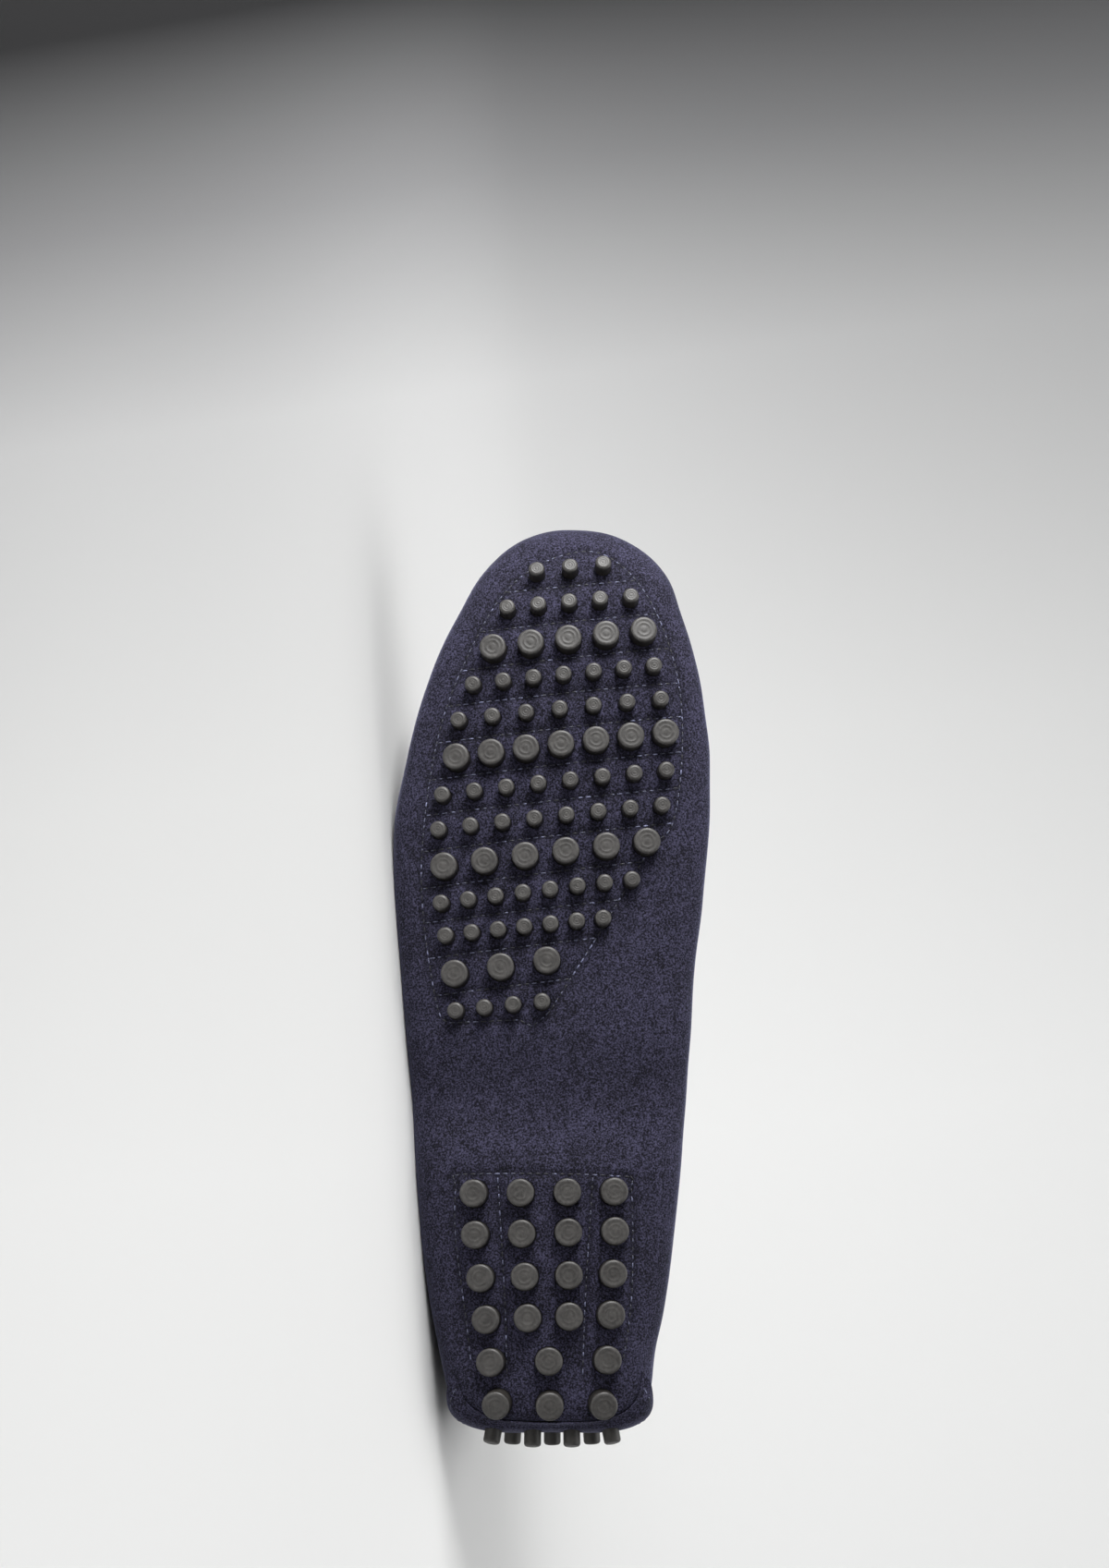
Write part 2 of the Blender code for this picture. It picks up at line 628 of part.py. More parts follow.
def build_apron(bm):
    """Top of the apron with its turned-up edge, which stands beside the wrap's lip."""
    turns, behind = ring_turns()
    count = len(turns)
    edge_turns = turns[behind : count - behind + 1]
    frames = [rim_frame(turn) for turn in edge_turns]
    across = 2 * SUEDE + SEAM_GAP
    edge = [here - out * across for here, _, out in frames]
    columns = ACROSS
    rows = (len(edge) - 1 - columns) // 2
    inner = edge[: rows + 1]
    toe = edge[rows : len(edge) - rows]
    outer = list(reversed(edge[len(edge) - rows - 1 :]))
    throat = []
    for i in range(columns + 1):
        t = i / columns
        throat.append(inner[0] * (1 - t) + outer[0] * t)
    grid = filled_grid(throat, toe, inner, outer)
    verts = [[None] * (columns + 1) for _ in range(rows + 1)]
    for j in range(rows + 1):
        for i in range(columns + 1):
            p = grid[j][i].copy()
            t, s = i / columns, j / rows
            bump = (1 - (2 * t - 1) ** 2) ** 0.8 * (1 - s**6)
            p.z += apron_crown(p.x / LENGTH) * bump
            p.x -= THROAT_SET_BACK * (1 - (2 * t - 1) ** 2) * (1 - s) ** 4
            verts[j][i] = bm.verts.new(p)
    for j in range(rows):
        for i in range(columns):
            bm.faces.new((verts[j][i], verts[j][i + 1], verts[j + 1][i + 1], verts[j + 1][i]))
    border = [verts[j][0] for j in range(rows + 1)]
    border += [verts[rows][i] for i in range(1, columns + 1)]
    border += [verts[j][columns] for j in range(rows - 1, -1, -1)]
    lips = [bm.verts.new(v.co + frame[1] * SEAM_LIP) for v, frame in zip(border, frames)]
    for (a, b), (c, d) in zip(zip(border, border[1:]), zip(lips, lips[1:])):
        bm.faces.new((a, b, d, c))


def build_binding(bm):
    """Folded binding over the topline, from one end of the throat round the heel to the other."""
    turns, behind = ring_turns()
    path = [turn - 1 for turn in turns[len(turns) - behind :]] + turns[: behind + 1]
    outer, inner = GAP + BINDING_THICKNESS, -SUEDE - GAP - BINDING_THICKNESS
    roof = GAP + BINDING_THICKNESS
    profile = [
        (outer, -BINDING_DEPTH), (outer, 0), (outer / 2, roof), (inner + outer / 2, roof),
        (inner, 0), (inner, -BINDING_DEPTH),
        (inner + BINDING_THICKNESS, -BINDING_DEPTH), (inner + BINDING_THICKNESS, GAP),
        (GAP, GAP), (GAP, -BINDING_DEPTH),
    ]
    rings = []
    for turn in path:
        here, lip, out = rim_frame(turn)
        top = here + lip * SEAM_LIP
        rings.append([top + out * across + lip * rise for across, rise in profile])
    for end, beside in ((0, 1), (-1, -2)):
        rings[end] = [p.lerp(q, BINDING_END) for p, q in zip(rings[end], rings[beside])]
    rings = [[bm.verts.new(p) for p in ring] for ring in rings]
    for a, b in zip(rings, rings[1:]):
        for i in range(len(profile)):
            j = (i + 1) % len(profile)
            bm.faces.new((a[i], a[j], b[j], b[i]))
    bm.faces.new(list(reversed(rings[0])))
    bm.faces.new(rings[-1])
    bmesh.ops.recalc_face_normals(bm, faces=bm.faces)


def heel_cover(half_widths, levels, offsets, thickness, grid):
    """A sheet behind the heel: its width and its distance off the wrap change as it goes up."""
    lines, columns = grid

    def build(bm):
        low, high = [], []
        for j in range(lines + 1):
            t = j / lines
            level = levels[0] + (levels[1] - levels[0]) * t
            width = half_widths[0] + (half_widths[1] - half_widths[0]) * smoothstep(0.0, 1.0, t)
            for sheet, extra in ((low, 0.0), (high, thickness)):
                sheet.append([])
                for i in range(columns + 1):
                    distance = width * (2 * i / columns - 1)
                    turn = turn_at(distance)
                    _, normal, _ = wall_frame(turn, level)
                    lift = offsets(distance, level) + extra
                    sheet[-1].append(bm.verts.new(wrap_point(turn, level) + normal * lift))
        faces = []
        for sheet in (low, high):
            for j in range(lines):
                for i in range(columns):
                    faces.append((sheet[j][i], sheet[j][i + 1], sheet[j + 1][i + 1], sheet[j + 1][i]))
        edge = [(0, i) for i in range(columns)] + [(j, columns) for j in range(lines)]
        edge += [(lines, i) for i in range(columns, 0, -1)] + [(j, 0) for j in range(lines, 0, -1)]
        for (j, i), (l, k) in zip(edge, edge[1:] + edge[:1]):
            faces.append((low[j][i], low[l][k], high[l][k], high[j][i]))
        for face in faces:
            bm.faces.new(face)
        bmesh.ops.recalc_face_normals(bm, faces=bm.faces)

    return build


def strip_lift(distance, level):
    return STRIP_GAP


def tab_lift(distance, level):
    """The tab lies on the wrap at its edges and over the rubber strip in the middle."""
    over = STRIP_GAP + STRIP_THICKNESS
    edge, top = STRIP_HALF_WIDTH, STRIP_TOP_LEVEL
    beside = 1 - smoothstep(edge + TAB_SETTLES_FROM, edge + TAB_SETTLES_TO, abs(distance))
    above = 1 - smoothstep(top + TAB_CLOSES_FROM, top + TAB_CLOSES_TO, level)
    return STRIP_GAP + over * beside * above


def evaluated_points(obj):
    """Every corner of an object's evaluated triangles, in the last's frame."""
    graph = bpy.context.evaluated_depsgraph_get()
    mesh = obj.evaluated_get(graph).to_mesh()
    mesh.calc_loop_triangles()
    return [[mesh.vertices[i].co.copy() for i in t.vertices] for t in mesh.loop_triangles]


def lying_matrix(parts):
    """Turns the shoe on to the face of its hull, on the outer side, that its weight falls inside."""
    weight, moment, hull = 0.0, Vector(), bmesh.new()
    for obj, density in parts:
        for a, b, c in evaluated_points(obj):
            mass = density * a.dot(b.cross(c)) / 6
            weight += mass
            moment += mass * (a + b + c) / 4
            for corner in (a, b, c):
                hull.verts.new(corner)
    middle = moment / weight
    bmesh.ops.remove_doubles(hull, verts=hull.verts, dist=WELD_DISTANCE)
    bmesh.ops.convex_hull(hull, input=hull.verts)
    best = None
    for face in hull.faces:
        corners = [v.co for v in face.verts]
        normal = (corners[1] - corners[0]).cross(corners[2] - corners[0]).normalized()
        if normal.dot(corners[0] - middle) < 0:
            normal = -normal
            corners.reverse()
        foot = middle + normal * (corners[0] - middle).dot(normal)
        inside = min(
            (b - a).cross(foot - a).dot(normal) / max((b - a).length, WELD_DISTANCE)
            for a, b in zip(corners, corners[1:] + corners[:1])
        )
        if normal.y < OUTER_SIDE and (best is None or inside > best[0]):
            best = (inside, normal.copy())
    hull.free()
    down = best[1]
    toe = (Vector((1, 0, 0)) - down * down.x).normalized()
    turn = Matrix((-toe, down.cross(toe), -down))
    return turn.to_4x4()


def settle(lying, parts):
    """Sets the turned shoe on the floor, with its box centred over the origin."""
    points = [lying.matrix_world @ p for obj, _ in parts for t in evaluated_points(obj) for p in t]
    low = [min(p[k] for p in points) for k in range(3)]
    high = [max(p[k] for p in points) for k in range(3)]
    lying.location -= Vector(((low[0] + high[0]) / 2, (low[1] + high[1]) / 2, low[2]))
    bpy.context.view_layer.update()


def build_shoe():
    for obj in list(bpy.data.objects):
        bpy.data.objects.remove(obj)
    lying = bpy.data.objects.new("lying_on_outer_side", None)
    bpy.context.scene.collection.objects.link(lying)
    suede = make_material("navy_suede", (0.040, 0.037, 0.062), 0.95)
    rubber = make_material("dark_rubber", (0.085, 0.082, 0.080), 0.62)
    lining = make_material("insole_leather", (0.050, 0.046, 0.070), 0.70)

    wrap = new_object("suede_wrap", build_wrap, suede, lying, SUEDE)
    units = {
        "forefoot": (FOREFOOT_ROWS, FOREFOOT_BACKING, FOREFOOT_GRID),
        "heel": (HEEL_ROWS, HEEL_BACKING, HEEL_GRID),
    }
    below = SUEDE + BOTTOM_GAP + RUBBER_BACKING * PEG_ROOT_SHARE
    parts = []
    for name, (rows, backing, grid) in units.items():
        pegs = list(bottom_pegs(rows))
        sheet = build_backing(backing, SUEDE + BOTTOM_GAP, grid)
        unit = new_object(f"{name}_peg_unit", sheet, rubber, lying, RUBBER_BACKING)
        shafts = new_object(f"{name}_peg_shafts", build_cylinders(pegs, below, PEG_HEIGHT, 0), None, lying)
        combine(unit, shafts, "UNION")
        bores = new_object(
            f"{name}_peg_holes",
            build_cylinders(pegs, 2 * SUEDE, 2 * SUEDE, PEG_HOLE_CLEARANCE), None, lying,
        )
        combine(wrap, bores, "DIFFERENCE")
        parts.append((unit, RUBBER_DENSITY))

    insole = new_object("insole", build_insole, lining, lying, INSOLE_THICKNESS)
    apron = new_object("apron", build_apron, suede, lying, SUEDE)
    binding = new_object("collar_binding", build_binding, suede, lying)

    strip = new_object(
        "back_peg_strip",
        heel_cover(
            (STRIP_HALF_WIDTH, STRIP_HALF_WIDTH * 0.75), (STRIP_FOOT_LEVEL, STRIP_TOP_LEVEL),
            strip_lift, STRIP_THICKNESS, STRIP_GRID,
        ),
        rubber, lying,
    )
    tab = new_object(
        "heel_tab",
        heel_cover(
            (TAB_FOOT_HALF_WIDTH, TAB_TOP_HALF_WIDTH), (TAB_FOOT_LEVEL, TAB_TOP_LEVEL),
            tab_lift, TAB_THICKNESS, TAB_GRID,
        ),
        suede, lying,
    )
    pegs = list(back_pegs())
    root = tab_stack() - STRIP_GAP - STRIP_THICKNESS * (1 - PEG_ROOT_SHARE)
    shafts = new_object("back_peg_shafts", build_cylinders(pegs, root, PEG_HEIGHT, 0), None, lying)
    combine(strip, shafts, "UNION")
    through = STRIP_GAP + 1.5 * TAB_THICKNESS
    bores = new_object(
        "back_peg_holes", build_cylinders(pegs, through, tab_stack(), PEG_HOLE_CLEARANCE), None, lying
    )
    combine(tab, bores, "DIFFERENCE")

    parts += [(strip, RUBBER_DENSITY)]
    parts += [(obj, SUEDE_DENSITY) for obj in (wrap, insole, apron, binding, tab)]
    bpy.context.view_layer.update()
    lying.matrix_world = lying_matrix(parts)
    bpy.context.view_layer.update()
    settle(lying, parts)


build_shoe()
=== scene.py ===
"""Dressed scene of a right driving moccasin that lies on its outer side on a pale floor.

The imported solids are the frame. The visible shoe is drawn over the same last, in metres: X runs
from heel to toe, Y from the outer to the inner side, Z from the peg tips upwards. Two mounts of
the record say where that last lies in the frame, and each piece is laid there as it is made.
"""

import json
import logging
import math
from dataclasses import dataclass, field
from enum import Enum
from typing import Callable, Optional, Sequence, Union

import bpy
import numpy as np
from mathutils import Matrix, Vector
from mathutils.kdtree import KDTree


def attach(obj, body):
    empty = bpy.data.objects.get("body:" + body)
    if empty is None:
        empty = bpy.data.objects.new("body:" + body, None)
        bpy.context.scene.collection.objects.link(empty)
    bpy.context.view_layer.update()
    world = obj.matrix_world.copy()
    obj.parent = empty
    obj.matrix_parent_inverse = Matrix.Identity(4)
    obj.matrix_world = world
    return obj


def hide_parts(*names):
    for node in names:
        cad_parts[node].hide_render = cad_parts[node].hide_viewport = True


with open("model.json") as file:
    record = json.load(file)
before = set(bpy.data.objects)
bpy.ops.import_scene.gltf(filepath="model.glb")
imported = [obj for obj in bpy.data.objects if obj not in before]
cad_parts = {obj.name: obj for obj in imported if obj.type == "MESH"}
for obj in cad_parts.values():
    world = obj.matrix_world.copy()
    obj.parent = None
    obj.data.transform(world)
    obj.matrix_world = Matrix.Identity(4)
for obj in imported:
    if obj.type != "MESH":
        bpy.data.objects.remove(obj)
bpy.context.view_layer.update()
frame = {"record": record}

LOG = logging.getLogger("driving_moccasin")
BODY = "root"
MM = 0.001

Array = np.ndarray
Colour = tuple[float, float, float, float]

# What a radian of bend is worth in distance where stations are set round the outline.
BEND = 0.005
SMOOTH_UNDER = math.radians(42)


def table(columns: str, *rows: tuple) -> list[dict]:
    """Give a table's rows with their columns named.

    Args:
        columns: Names of the columns.
        rows: What each row holds, in that order.

    Returns:
        A dict for each row.
    """
    return [dict(zip(columns.split(), row)) for row in rows]


def share_at(turn: Array) -> Array:
    """Give the share of the length at a turn round the outline."""
    return 0.5 - 0.5 * np.cos(2 * np.pi * turn)


# Plan of the last, as shares of the half width at the ball. The ends are rounded after.
PLAN = table(
    "share centre half",
    (0.000, 0.020, 0.640),
    (0.050, 0.000, 0.645),
    (0.086, -0.010, 0.668),
    (0.125, -0.008, 0.718),
    (0.164, -0.008, 0.754),
    (0.240, -0.006, 0.806),
    (0.320, -0.004, 0.848),
    (0.400, 0.000, 0.884),
    (0.480, -0.010, 0.922),
    (0.565, -0.004, 0.974),
    (0.648, 0.016, 1.004),
    (0.730, 0.056, 0.976),
    (0.774, 0.076, 0.950),
    (0.817, 0.096, 0.931),
    (0.860, 0.116, 0.911),
    (0.900, 0.140, 0.902),
    (0.940, 0.160, 0.933),
    (1.000, 0.162, 0.950),
)

# Walls above the bottom: widest line, rim height, rim inset, turn of the wall at the rim, in
# degrees, and how flat the wall is on the way.
WALLS = table(
    "share bulge rim inset lean flat",
    (0.00, 1.10, 1.000, 0.09, 25, 0.50),
    (0.10, 1.08, 0.985, 0.14, 25, 0.75),
    (0.20, 1.05, 0.920, 0.21, 25, 0.90),
    (0.32, 1.00, 0.850, 0.26, 30, 0.90),
    (0.42, 0.96, 0.830, 0.30, 35, 0.85),
    (0.52, 0.93, 0.865, 0.36, 45, 0.70),
    (0.585, 0.92, 0.880, 0.40, 52, 0.50),
    (0.66, 0.90, 0.790, 0.43, 60, 0.25),
    (0.76, 0.89, 0.640, 0.42, 64, 0.08),
    (0.86, 0.87, 0.515, 0.38, 66, 0.00),
    (0.94, 0.84, 0.430, 0.34, 66, 0.00),
    (1.00, 0.80, 0.385, 0.31, 64, 0.00),
)

# Peg rows, heel to toe: plan places of the outer and the inner peg, as shares of the length and of
# the half width at the ball.
FOREFOOT_ROWS = table(
    "kind count outer inner",
    ("small", 4, (0.4440, -0.582), (0.4535, -0.044)),
    ("large", 3, (0.4840, -0.590), (0.4980, -0.014)),
    ("small", 7, (0.5255, -0.648), (0.5440, 0.338)),
    ("small", 8, (0.5610, -0.678), (0.5865, 0.520)),
    ("large", 6, (0.6015, -0.662), (0.6285, 0.616)),
    ("small", 8, (0.6420, -0.698), (0.6690, 0.714)),
    ("small", 8, (0.6805, -0.676), (0.7080, 0.742)),
    ("large", 7, (0.7225, -0.590), (0.7500, 0.740)),
    ("small", 7, (0.7640, -0.576), (0.7875, 0.710)),
    ("small", 7, (0.8040, -0.486), (0.8255, 0.668)),
    ("large", 5, (0.8460, -0.360), (0.8660, 0.604)),
    ("small", 5, (0.8925, -0.270), (0.9060, 0.524)),
    ("small", 3, (0.9380, -0.082), (0.9460, 0.348)),
)
HEEL_ROWS = table(
    "kind count outer inner",
    ("large", 3, (0.0280, -0.326), (0.0280, 0.336)),
    ("large", 3, (0.0740, -0.358), (0.0765, 0.358)),
    ("large", 4, (0.1180, -0.386), (0.1230, 0.380)),
    ("large", 4, (0.1610, -0.420), (0.1655, 0.394)),
    ("large", 4, (0.2060, -0.454), (0.2100, 0.406)),
    ("large", 4, (0.2495, -0.464), (0.2515, 0.402)),
)
# Rows on the heel tab: level up the wall, and the outermost peg's distance round the heel.
BACK_ROWS = table(
    "count level reach",
    (4, -0.20, 0.0180),
    (3, 0.14, 0.0122),
)

# Plan edges of the rubber backings, as shares of the length and of the half width at the ball.
FOREFOOT_BACKING = table(
    "share outer inner",
    (0.425, -0.720, 0.080),
    (0.475, -0.760, 0.110),
    (0.510, -0.790, 0.200),
    (0.530, -0.800, 0.440),
    (0.580, -0.815, 0.650),
    (0.625, -0.820, 0.770),
    (0.680, -0.800, 0.850),
    (0.740, -0.740, 0.870),
    (0.790, -0.680, 0.850),
    (0.840, -0.570, 0.800),
    (0.890, -0.420, 0.720),
    (0.930, -0.260, 0.580),
    (0.960, -0.100, 0.400),
)
HEEL_BACKING = table(
    "share outer inner",
    (0.014, -0.440, 0.450),
    (0.040, -0.490, 0.490),
    (0.120, -0.510, 0.510),
    (0.200, -0.570, 0.530),
    (0.275, -0.590, 0.530),
)

# Seams sewn through the bottom, as plan places in shares of the length and of the half width at
# the ball. The edge seam is a smooth curve through its places, the others run straight.
FOREFOOT_EDGE_SEAM = [
    (0.432, -0.630), (0.440, -0.680), (0.475, -0.728), (0.533, -0.782), (0.608, -0.806),
    (0.701, -0.756), (0.770, -0.674), (0.832, -0.542), (0.896, -0.356), (0.936, -0.160),
    (0.959, 0.084), (0.962, 0.326), (0.930, 0.554), (0.875, 0.726), (0.801, 0.836),
    (0.723, 0.844), (0.650, 0.780), (0.628, 0.654),
]
FOREFOOT_END_SEAM = [(0.628, 0.654), (0.442, -0.002), (0.435, -0.186), (0.432, -0.630)]
HEEL_EDGE_SEAM = [
    (0.075, -0.475), (0.110, -0.500), (0.205, -0.574), (0.258, -0.572), (0.270, -0.520),
    (0.268, 0.440), (0.255, 0.506), (0.163, 0.512), (0.110, 0.486), (0.075, 0.450),
]
HEEL_INNER_SEAMS = [
    [(0.268, -0.316), (0.140, -0.270), (0.060, -0.255)],
    [(0.268, 0.270), (0.140, 0.222), (0.060, 0.205)],
]


class Slot(Enum):
    """Material slots of the record, passed along with the pieces."""

    SUEDE = "suede"
    RUBBER = "rubber"
    INSOLE = "insole_leather"


class PegKind(Enum):
    """The two sizes of peg."""

    LARGE = "large"
    SMALL = "small"


def smoothstep(low: float, high: float, value: Union[float, Array]) -> Array:
    """Ease from 0 at low to 1 at high.

    Args:
        low: Value where the step starts.
        high: Value where the step is complete.
        value: Where to read the step.

    Returns:
        The eased share, from 0 to 1.
    """
    t = np.clip((np.asarray(value, float) - low) / (high - low), 0.0, 1.0)
    return t * t * (3.0 - 2.0 * t)


def unit(vectors: Array) -> Array:
    """Scale vectors to length 1.

    Args:
        vectors: Vectors along the last axis.

    Returns:
        The same directions, each of length 1.
    """
    return vectors / np.maximum(np.linalg.norm(vectors, axis=-1, keepdims=True), 1e-12)


class Column:
    """A column of a table of shares, read on a smooth curve through its rows."""

    def __init__(self, rows: Sequence[dict[str, float]], name: str) -> None:
        """Keep the column's values and the slope of its curve at each row.

        Args:
            rows: Rows of the table, each with a share.
            name: The column's name.
        """
        self.shares = np.array([row["share"] for row in rows])
        self.values = np.array([row[name] for row in rows])
        last = len(rows) - 1
        low = np.maximum(np.arange(last + 1) - 1, 0)
        high = np.minimum(np.arange(last + 1) + 1, last)
        rise, run = (line[high] - line[low] for line in (self.values, self.shares))
        self.slopes = rise / run

    def at(self, share: Union[float, Array]) -> Array:
        """Read the curve.

        Args:
            share: Where to read it.

        Returns:
            The values there.
        """
        share = np.clip(share, self.shares[0], self.shares[-1])
        i = np.clip(np.searchsorted(self.shares, share, side="right") - 1, 0, len(self.shares) - 2)
        span = self.shares[i + 1] - self.shares[i]
        t = (share - self.shares[i]) / span
        start = self.values[i] * (2 * t**3 - 3 * t**2 + 1)
        start = start + self.slopes[i] * span * (t**3 - 2 * t**2 + t)
        end = self.values[i + 1] * (3 * t**2 - 2 * t**3)
        return start + end + self.slopes[i + 1] * span * (t**3 - t**2)


PLAN_CENTRE, PLAN_HALF = Column(PLAN, "centre"), Column(PLAN, "half")
WALL = {name: Column(WALLS, name) for name in ("bulge", "rim", "inset", "lean", "flat")}


@dataclass(frozen=True)
class Last:
    """The form that the shoe is made on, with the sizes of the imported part."""

    length: float = 0.288
    ball_half_width: float = 0.050
    collar_height: float = 0.0575
    bulge_height: float = 0.0118
    toe_round_from: float = 0.70
    toe_round_power: float = 2.2
    heel_round_to: float = 0.070
    heel_round_power: float = 3.4
    feather_inset: float = 0.0140
    heel_feather_inset: float = 0.0105
    heel_feather_to: float = 0.16
    edge_power: float = 2.4
    bottom_crown: float = 0.0032
    toe_spring: float = 0.0100
    toe_spring_from: float = 0.78
    toe_spring_power: float = 2.6
    arch_rise: float = 0.0025
    arch_from: float = 0.26
    arch_to: float = 0.43
    throat_at: float = 0.585
    lip_turns_from: float = 0.22
    peg_height: float = 0.0045
    suede: float = 0.0016
    seam_lip: float = 0.0026
    seam_gap: float = 0.0004
    tab_stack: float = 0.0030
    recess_fade: float = 0.0560
    recess_from: float = -0.64
    recess_to: float = -0.40
    dense_points: int = 720

    def centre(self, share: Array) -> Array:
        """Give the middle of the plan at a share of the length."""
        return self.ball_half_width * PLAN_CENTRE.at(share)

    def straight_half_width(self, share: Array) -> Array:
        """Give the half width of the plan before its ends are rounded."""
        return self.ball_half_width * PLAN_HALF.at(share)

    def half_width(self, share: Array) -> Array:
        """Give the half width of the plan.

        Args:
            share: Share of the length.

        Returns:
            Half widths in metres, 0 at both ends.
        """
        toe = np.clip((share - self.toe_round_from) / (1 - self.toe_round_from), 0.0, 1.0)
        heel = np.clip((self.heel_round_to - share) / self.heel_round_to, 0.0, 1.0)
        rounding = (1 - toe**self.toe_round_power) ** (1 / self.toe_round_power)
        rounding = rounding * (1 - heel**self.heel_round_power) ** (1 / self.heel_round_power)
        return self.straight_half_width(share) * rounding

    def plan(self, turn: Array, inset: Array) -> tuple[Array, Array]:
        """Give a plan place on the outline drawn in by an inset.

        Args:
            turn: Turn round the outline, 0 at the heel and 0.5 at the toe, inner side first.
            inset: How far the outline is drawn in.

        Returns:
            Places along and across.
        """
        share = share_at(turn)
        side = np.where(turn % 1.0 <= 0.5, 1.0, -1.0)
        across = side * self.half_width(share) * (1 - inset / self.straight_half_width(share))
        along = self.length / 2 + (share - 0.5) * (self.length - 2 * inset)
        return along, self.centre(share) + across

    def bottom_height(self, x: Array, y: Array) -> Array:
        """Give the height of the bare bottom before its edge turns up.

        Args:
            x: Places along the last.
            y: Places across the last.

        Returns:
            Heights above the peg tips.
        """
        share = np.clip(x / self.length, 0.0, 1.0)
        toe = np.maximum((share - self.toe_spring_from) / (1 - self.toe_spring_from), 0.0)
        arch = np.clip((share - self.arch_from) / (self.arch_to - self.arch_from), 0.0, 1.0)
        crown = (y - self.centre(share)) / self.straight_half_width(share)
        height = self.peg_height + self.toe_spring * toe**self.toe_spring_power
        return height + self.arch_rise * np.sin(np.pi * arch) ** 2 + self.bottom_crown * crown**2

    def feather(self, share: Array) -> Array:
        """Give the inset of the line where the edge starts to turn up."""
        wider = smoothstep(0.0, self.heel_feather_to, share)
        return self.heel_feather_inset + (self.feather_inset - self.heel_feather_inset) * wider

    def edge_rise(self, share: Array, x: Array, y: Array, inset: Array) -> Array:
        """Give the height between the feather line and the widest line.

        Args:
            share: Share of the length on the outline.
            x: Places along the last.
            y: Places across the last.
            inset: How far the places lie inside the outline.

        Returns:
            Heights above the peg tips.
        """
        low = self.bottom_height(x, y)
        bulge = self.bulge_height * WALL["bulge"].at(share)
        bulge = self.bottom_height(x, self.centre(share)) + bulge
        t = np.clip(1 - inset / self.feather(share), 0.0, 1.0)
        return low + (bulge - low) * (1 - (1 - t**self.edge_power) ** (1 / self.edge_power))

    def share_inside(self, x: Array, inset: Array) -> Array:
        """Give the outline's share of the length beside a place, for an inset."""
        return np.clip(0.5 + (x - self.length / 2) / (self.length - 2 * inset), 0.0, 1.0)

    def sole_height(self, x: Array, y: Array) -> Array:
        """Give the height of the outside of the bottom at plan places.

        Args:
            x: Places along the last.
            y: Places across the last.

        Returns:
            Heights above the peg tips.
        """
        low = np.zeros_like(x)
        high = np.full_like(x, self.ball_half_width)
        for _ in range(25):
            inset = (low + high) / 2
            share = self.share_inside(x, inset)
            width = self.half_width(share) * (1 - inset / self.straight_half_width(share))
            inside = np.abs(y - self.centre(share)) < width
            low = np.where(inside, inset, low)
            high = np.where(inside, high, inset)
        return self.edge_rise(self.share_inside(x, low), x, y, low)

    def sole_frame(self, x: Array, y: Array, step: float = 0.001) -> tuple[Array, Array]:
        """Give places and outward normals on the outside of the bottom.

        Args:
            x: Places along the last.
            y: Places across the last.
            step: How far apart the heights are read for the slopes.

        Returns:
            Places and unit normals.
        """
        x, y = np.asarray(x, float), np.asarray(y, float)
        slope_x = (self.sole_height(x + step, y) - self.sole_height(x - step, y)) / (2 * step)
        slope_y = (self.sole_height(x, y + step) - self.sole_height(x, y - step)) / (2 * step)
        place = np.stack([x, y, self.sole_height(x, y)], -1)
        return place, unit(np.stack([slope_x, slope_y, -np.ones_like(x)], -1))

    def wall(self, turn: Array, level: Array) -> Array:
        """Give places on the outside of the wall.

        Args:
            turn: Turn round the outline.
            level: Level -1 is the feather line, 0 the widest line and 1 the rim.

        Returns:
            Places in the last's frame.
        """
        turn, level = np.broadcast_arrays(np.asarray(turn, float), np.asarray(level, float))
        share = share_at(turn)
        t = np.sin(np.clip(level + 1, 0.0, 1.0) * np.pi / 2) ** (2 / self.edge_power)
        low_inset = self.feather(share) * (1 - t)
        low_x, low_y = self.plan(turn, low_inset)
        low_z = self.edge_rise(share, low_x, low_y, low_inset)
        up = np.maximum(level, 0.0)
        lean = np.radians(WALL["lean"].at(share))
        flat = WALL["flat"].at(share)
        turned = (1 - np.cos(up * lean)) / (1 - np.cos(lean))
        inset = self.ball_half_width * WALL["inset"].at(share) * (flat * up + (1 - flat) * turned)
        high_x, high_y = self.plan(turn, inset)
        bulge = self.bulge_height * WALL["bulge"].at(share)
        rim = self.collar_height * WALL["rim"].at(share)
        floor = self.bottom_height(self.length * share, self.centre(share))
        high_z = floor + bulge + (rim - bulge) * np.sin(up * lean) / np.sin(lean)
        low = np.stack([low_x, low_y, low_z], -1)
        return np.where((level < 0)[..., None], low, np.stack([high_x, high_y, high_z], -1))

    def wall_frame(self, turn: Array, level: Array) -> tuple[Array, Array, Array]:
        """Give places on the wall with the outward normal and the way up, square to the ring.

        Args:
            turn: Turn round the outline.
            level: Level up the wall.

        Returns:
            Places, unit normals and unit vectors up the wall.
        """
        turn, level = np.broadcast_arrays(np.asarray(turn, float), np.asarray(level, float))
        step, rise = 0.002, 0.010
        along = self.wall(turn + step, level) - self.wall(turn - step, level)
        up = self.wall(turn, np.minimum(level + rise, 1.0))
        up = up - self.wall(turn, np.maximum(level - rise, -1.0))
        normal = unit(np.cross(up, along))
        return self.wall(turn, level), normal, unit(np.cross(along, normal))

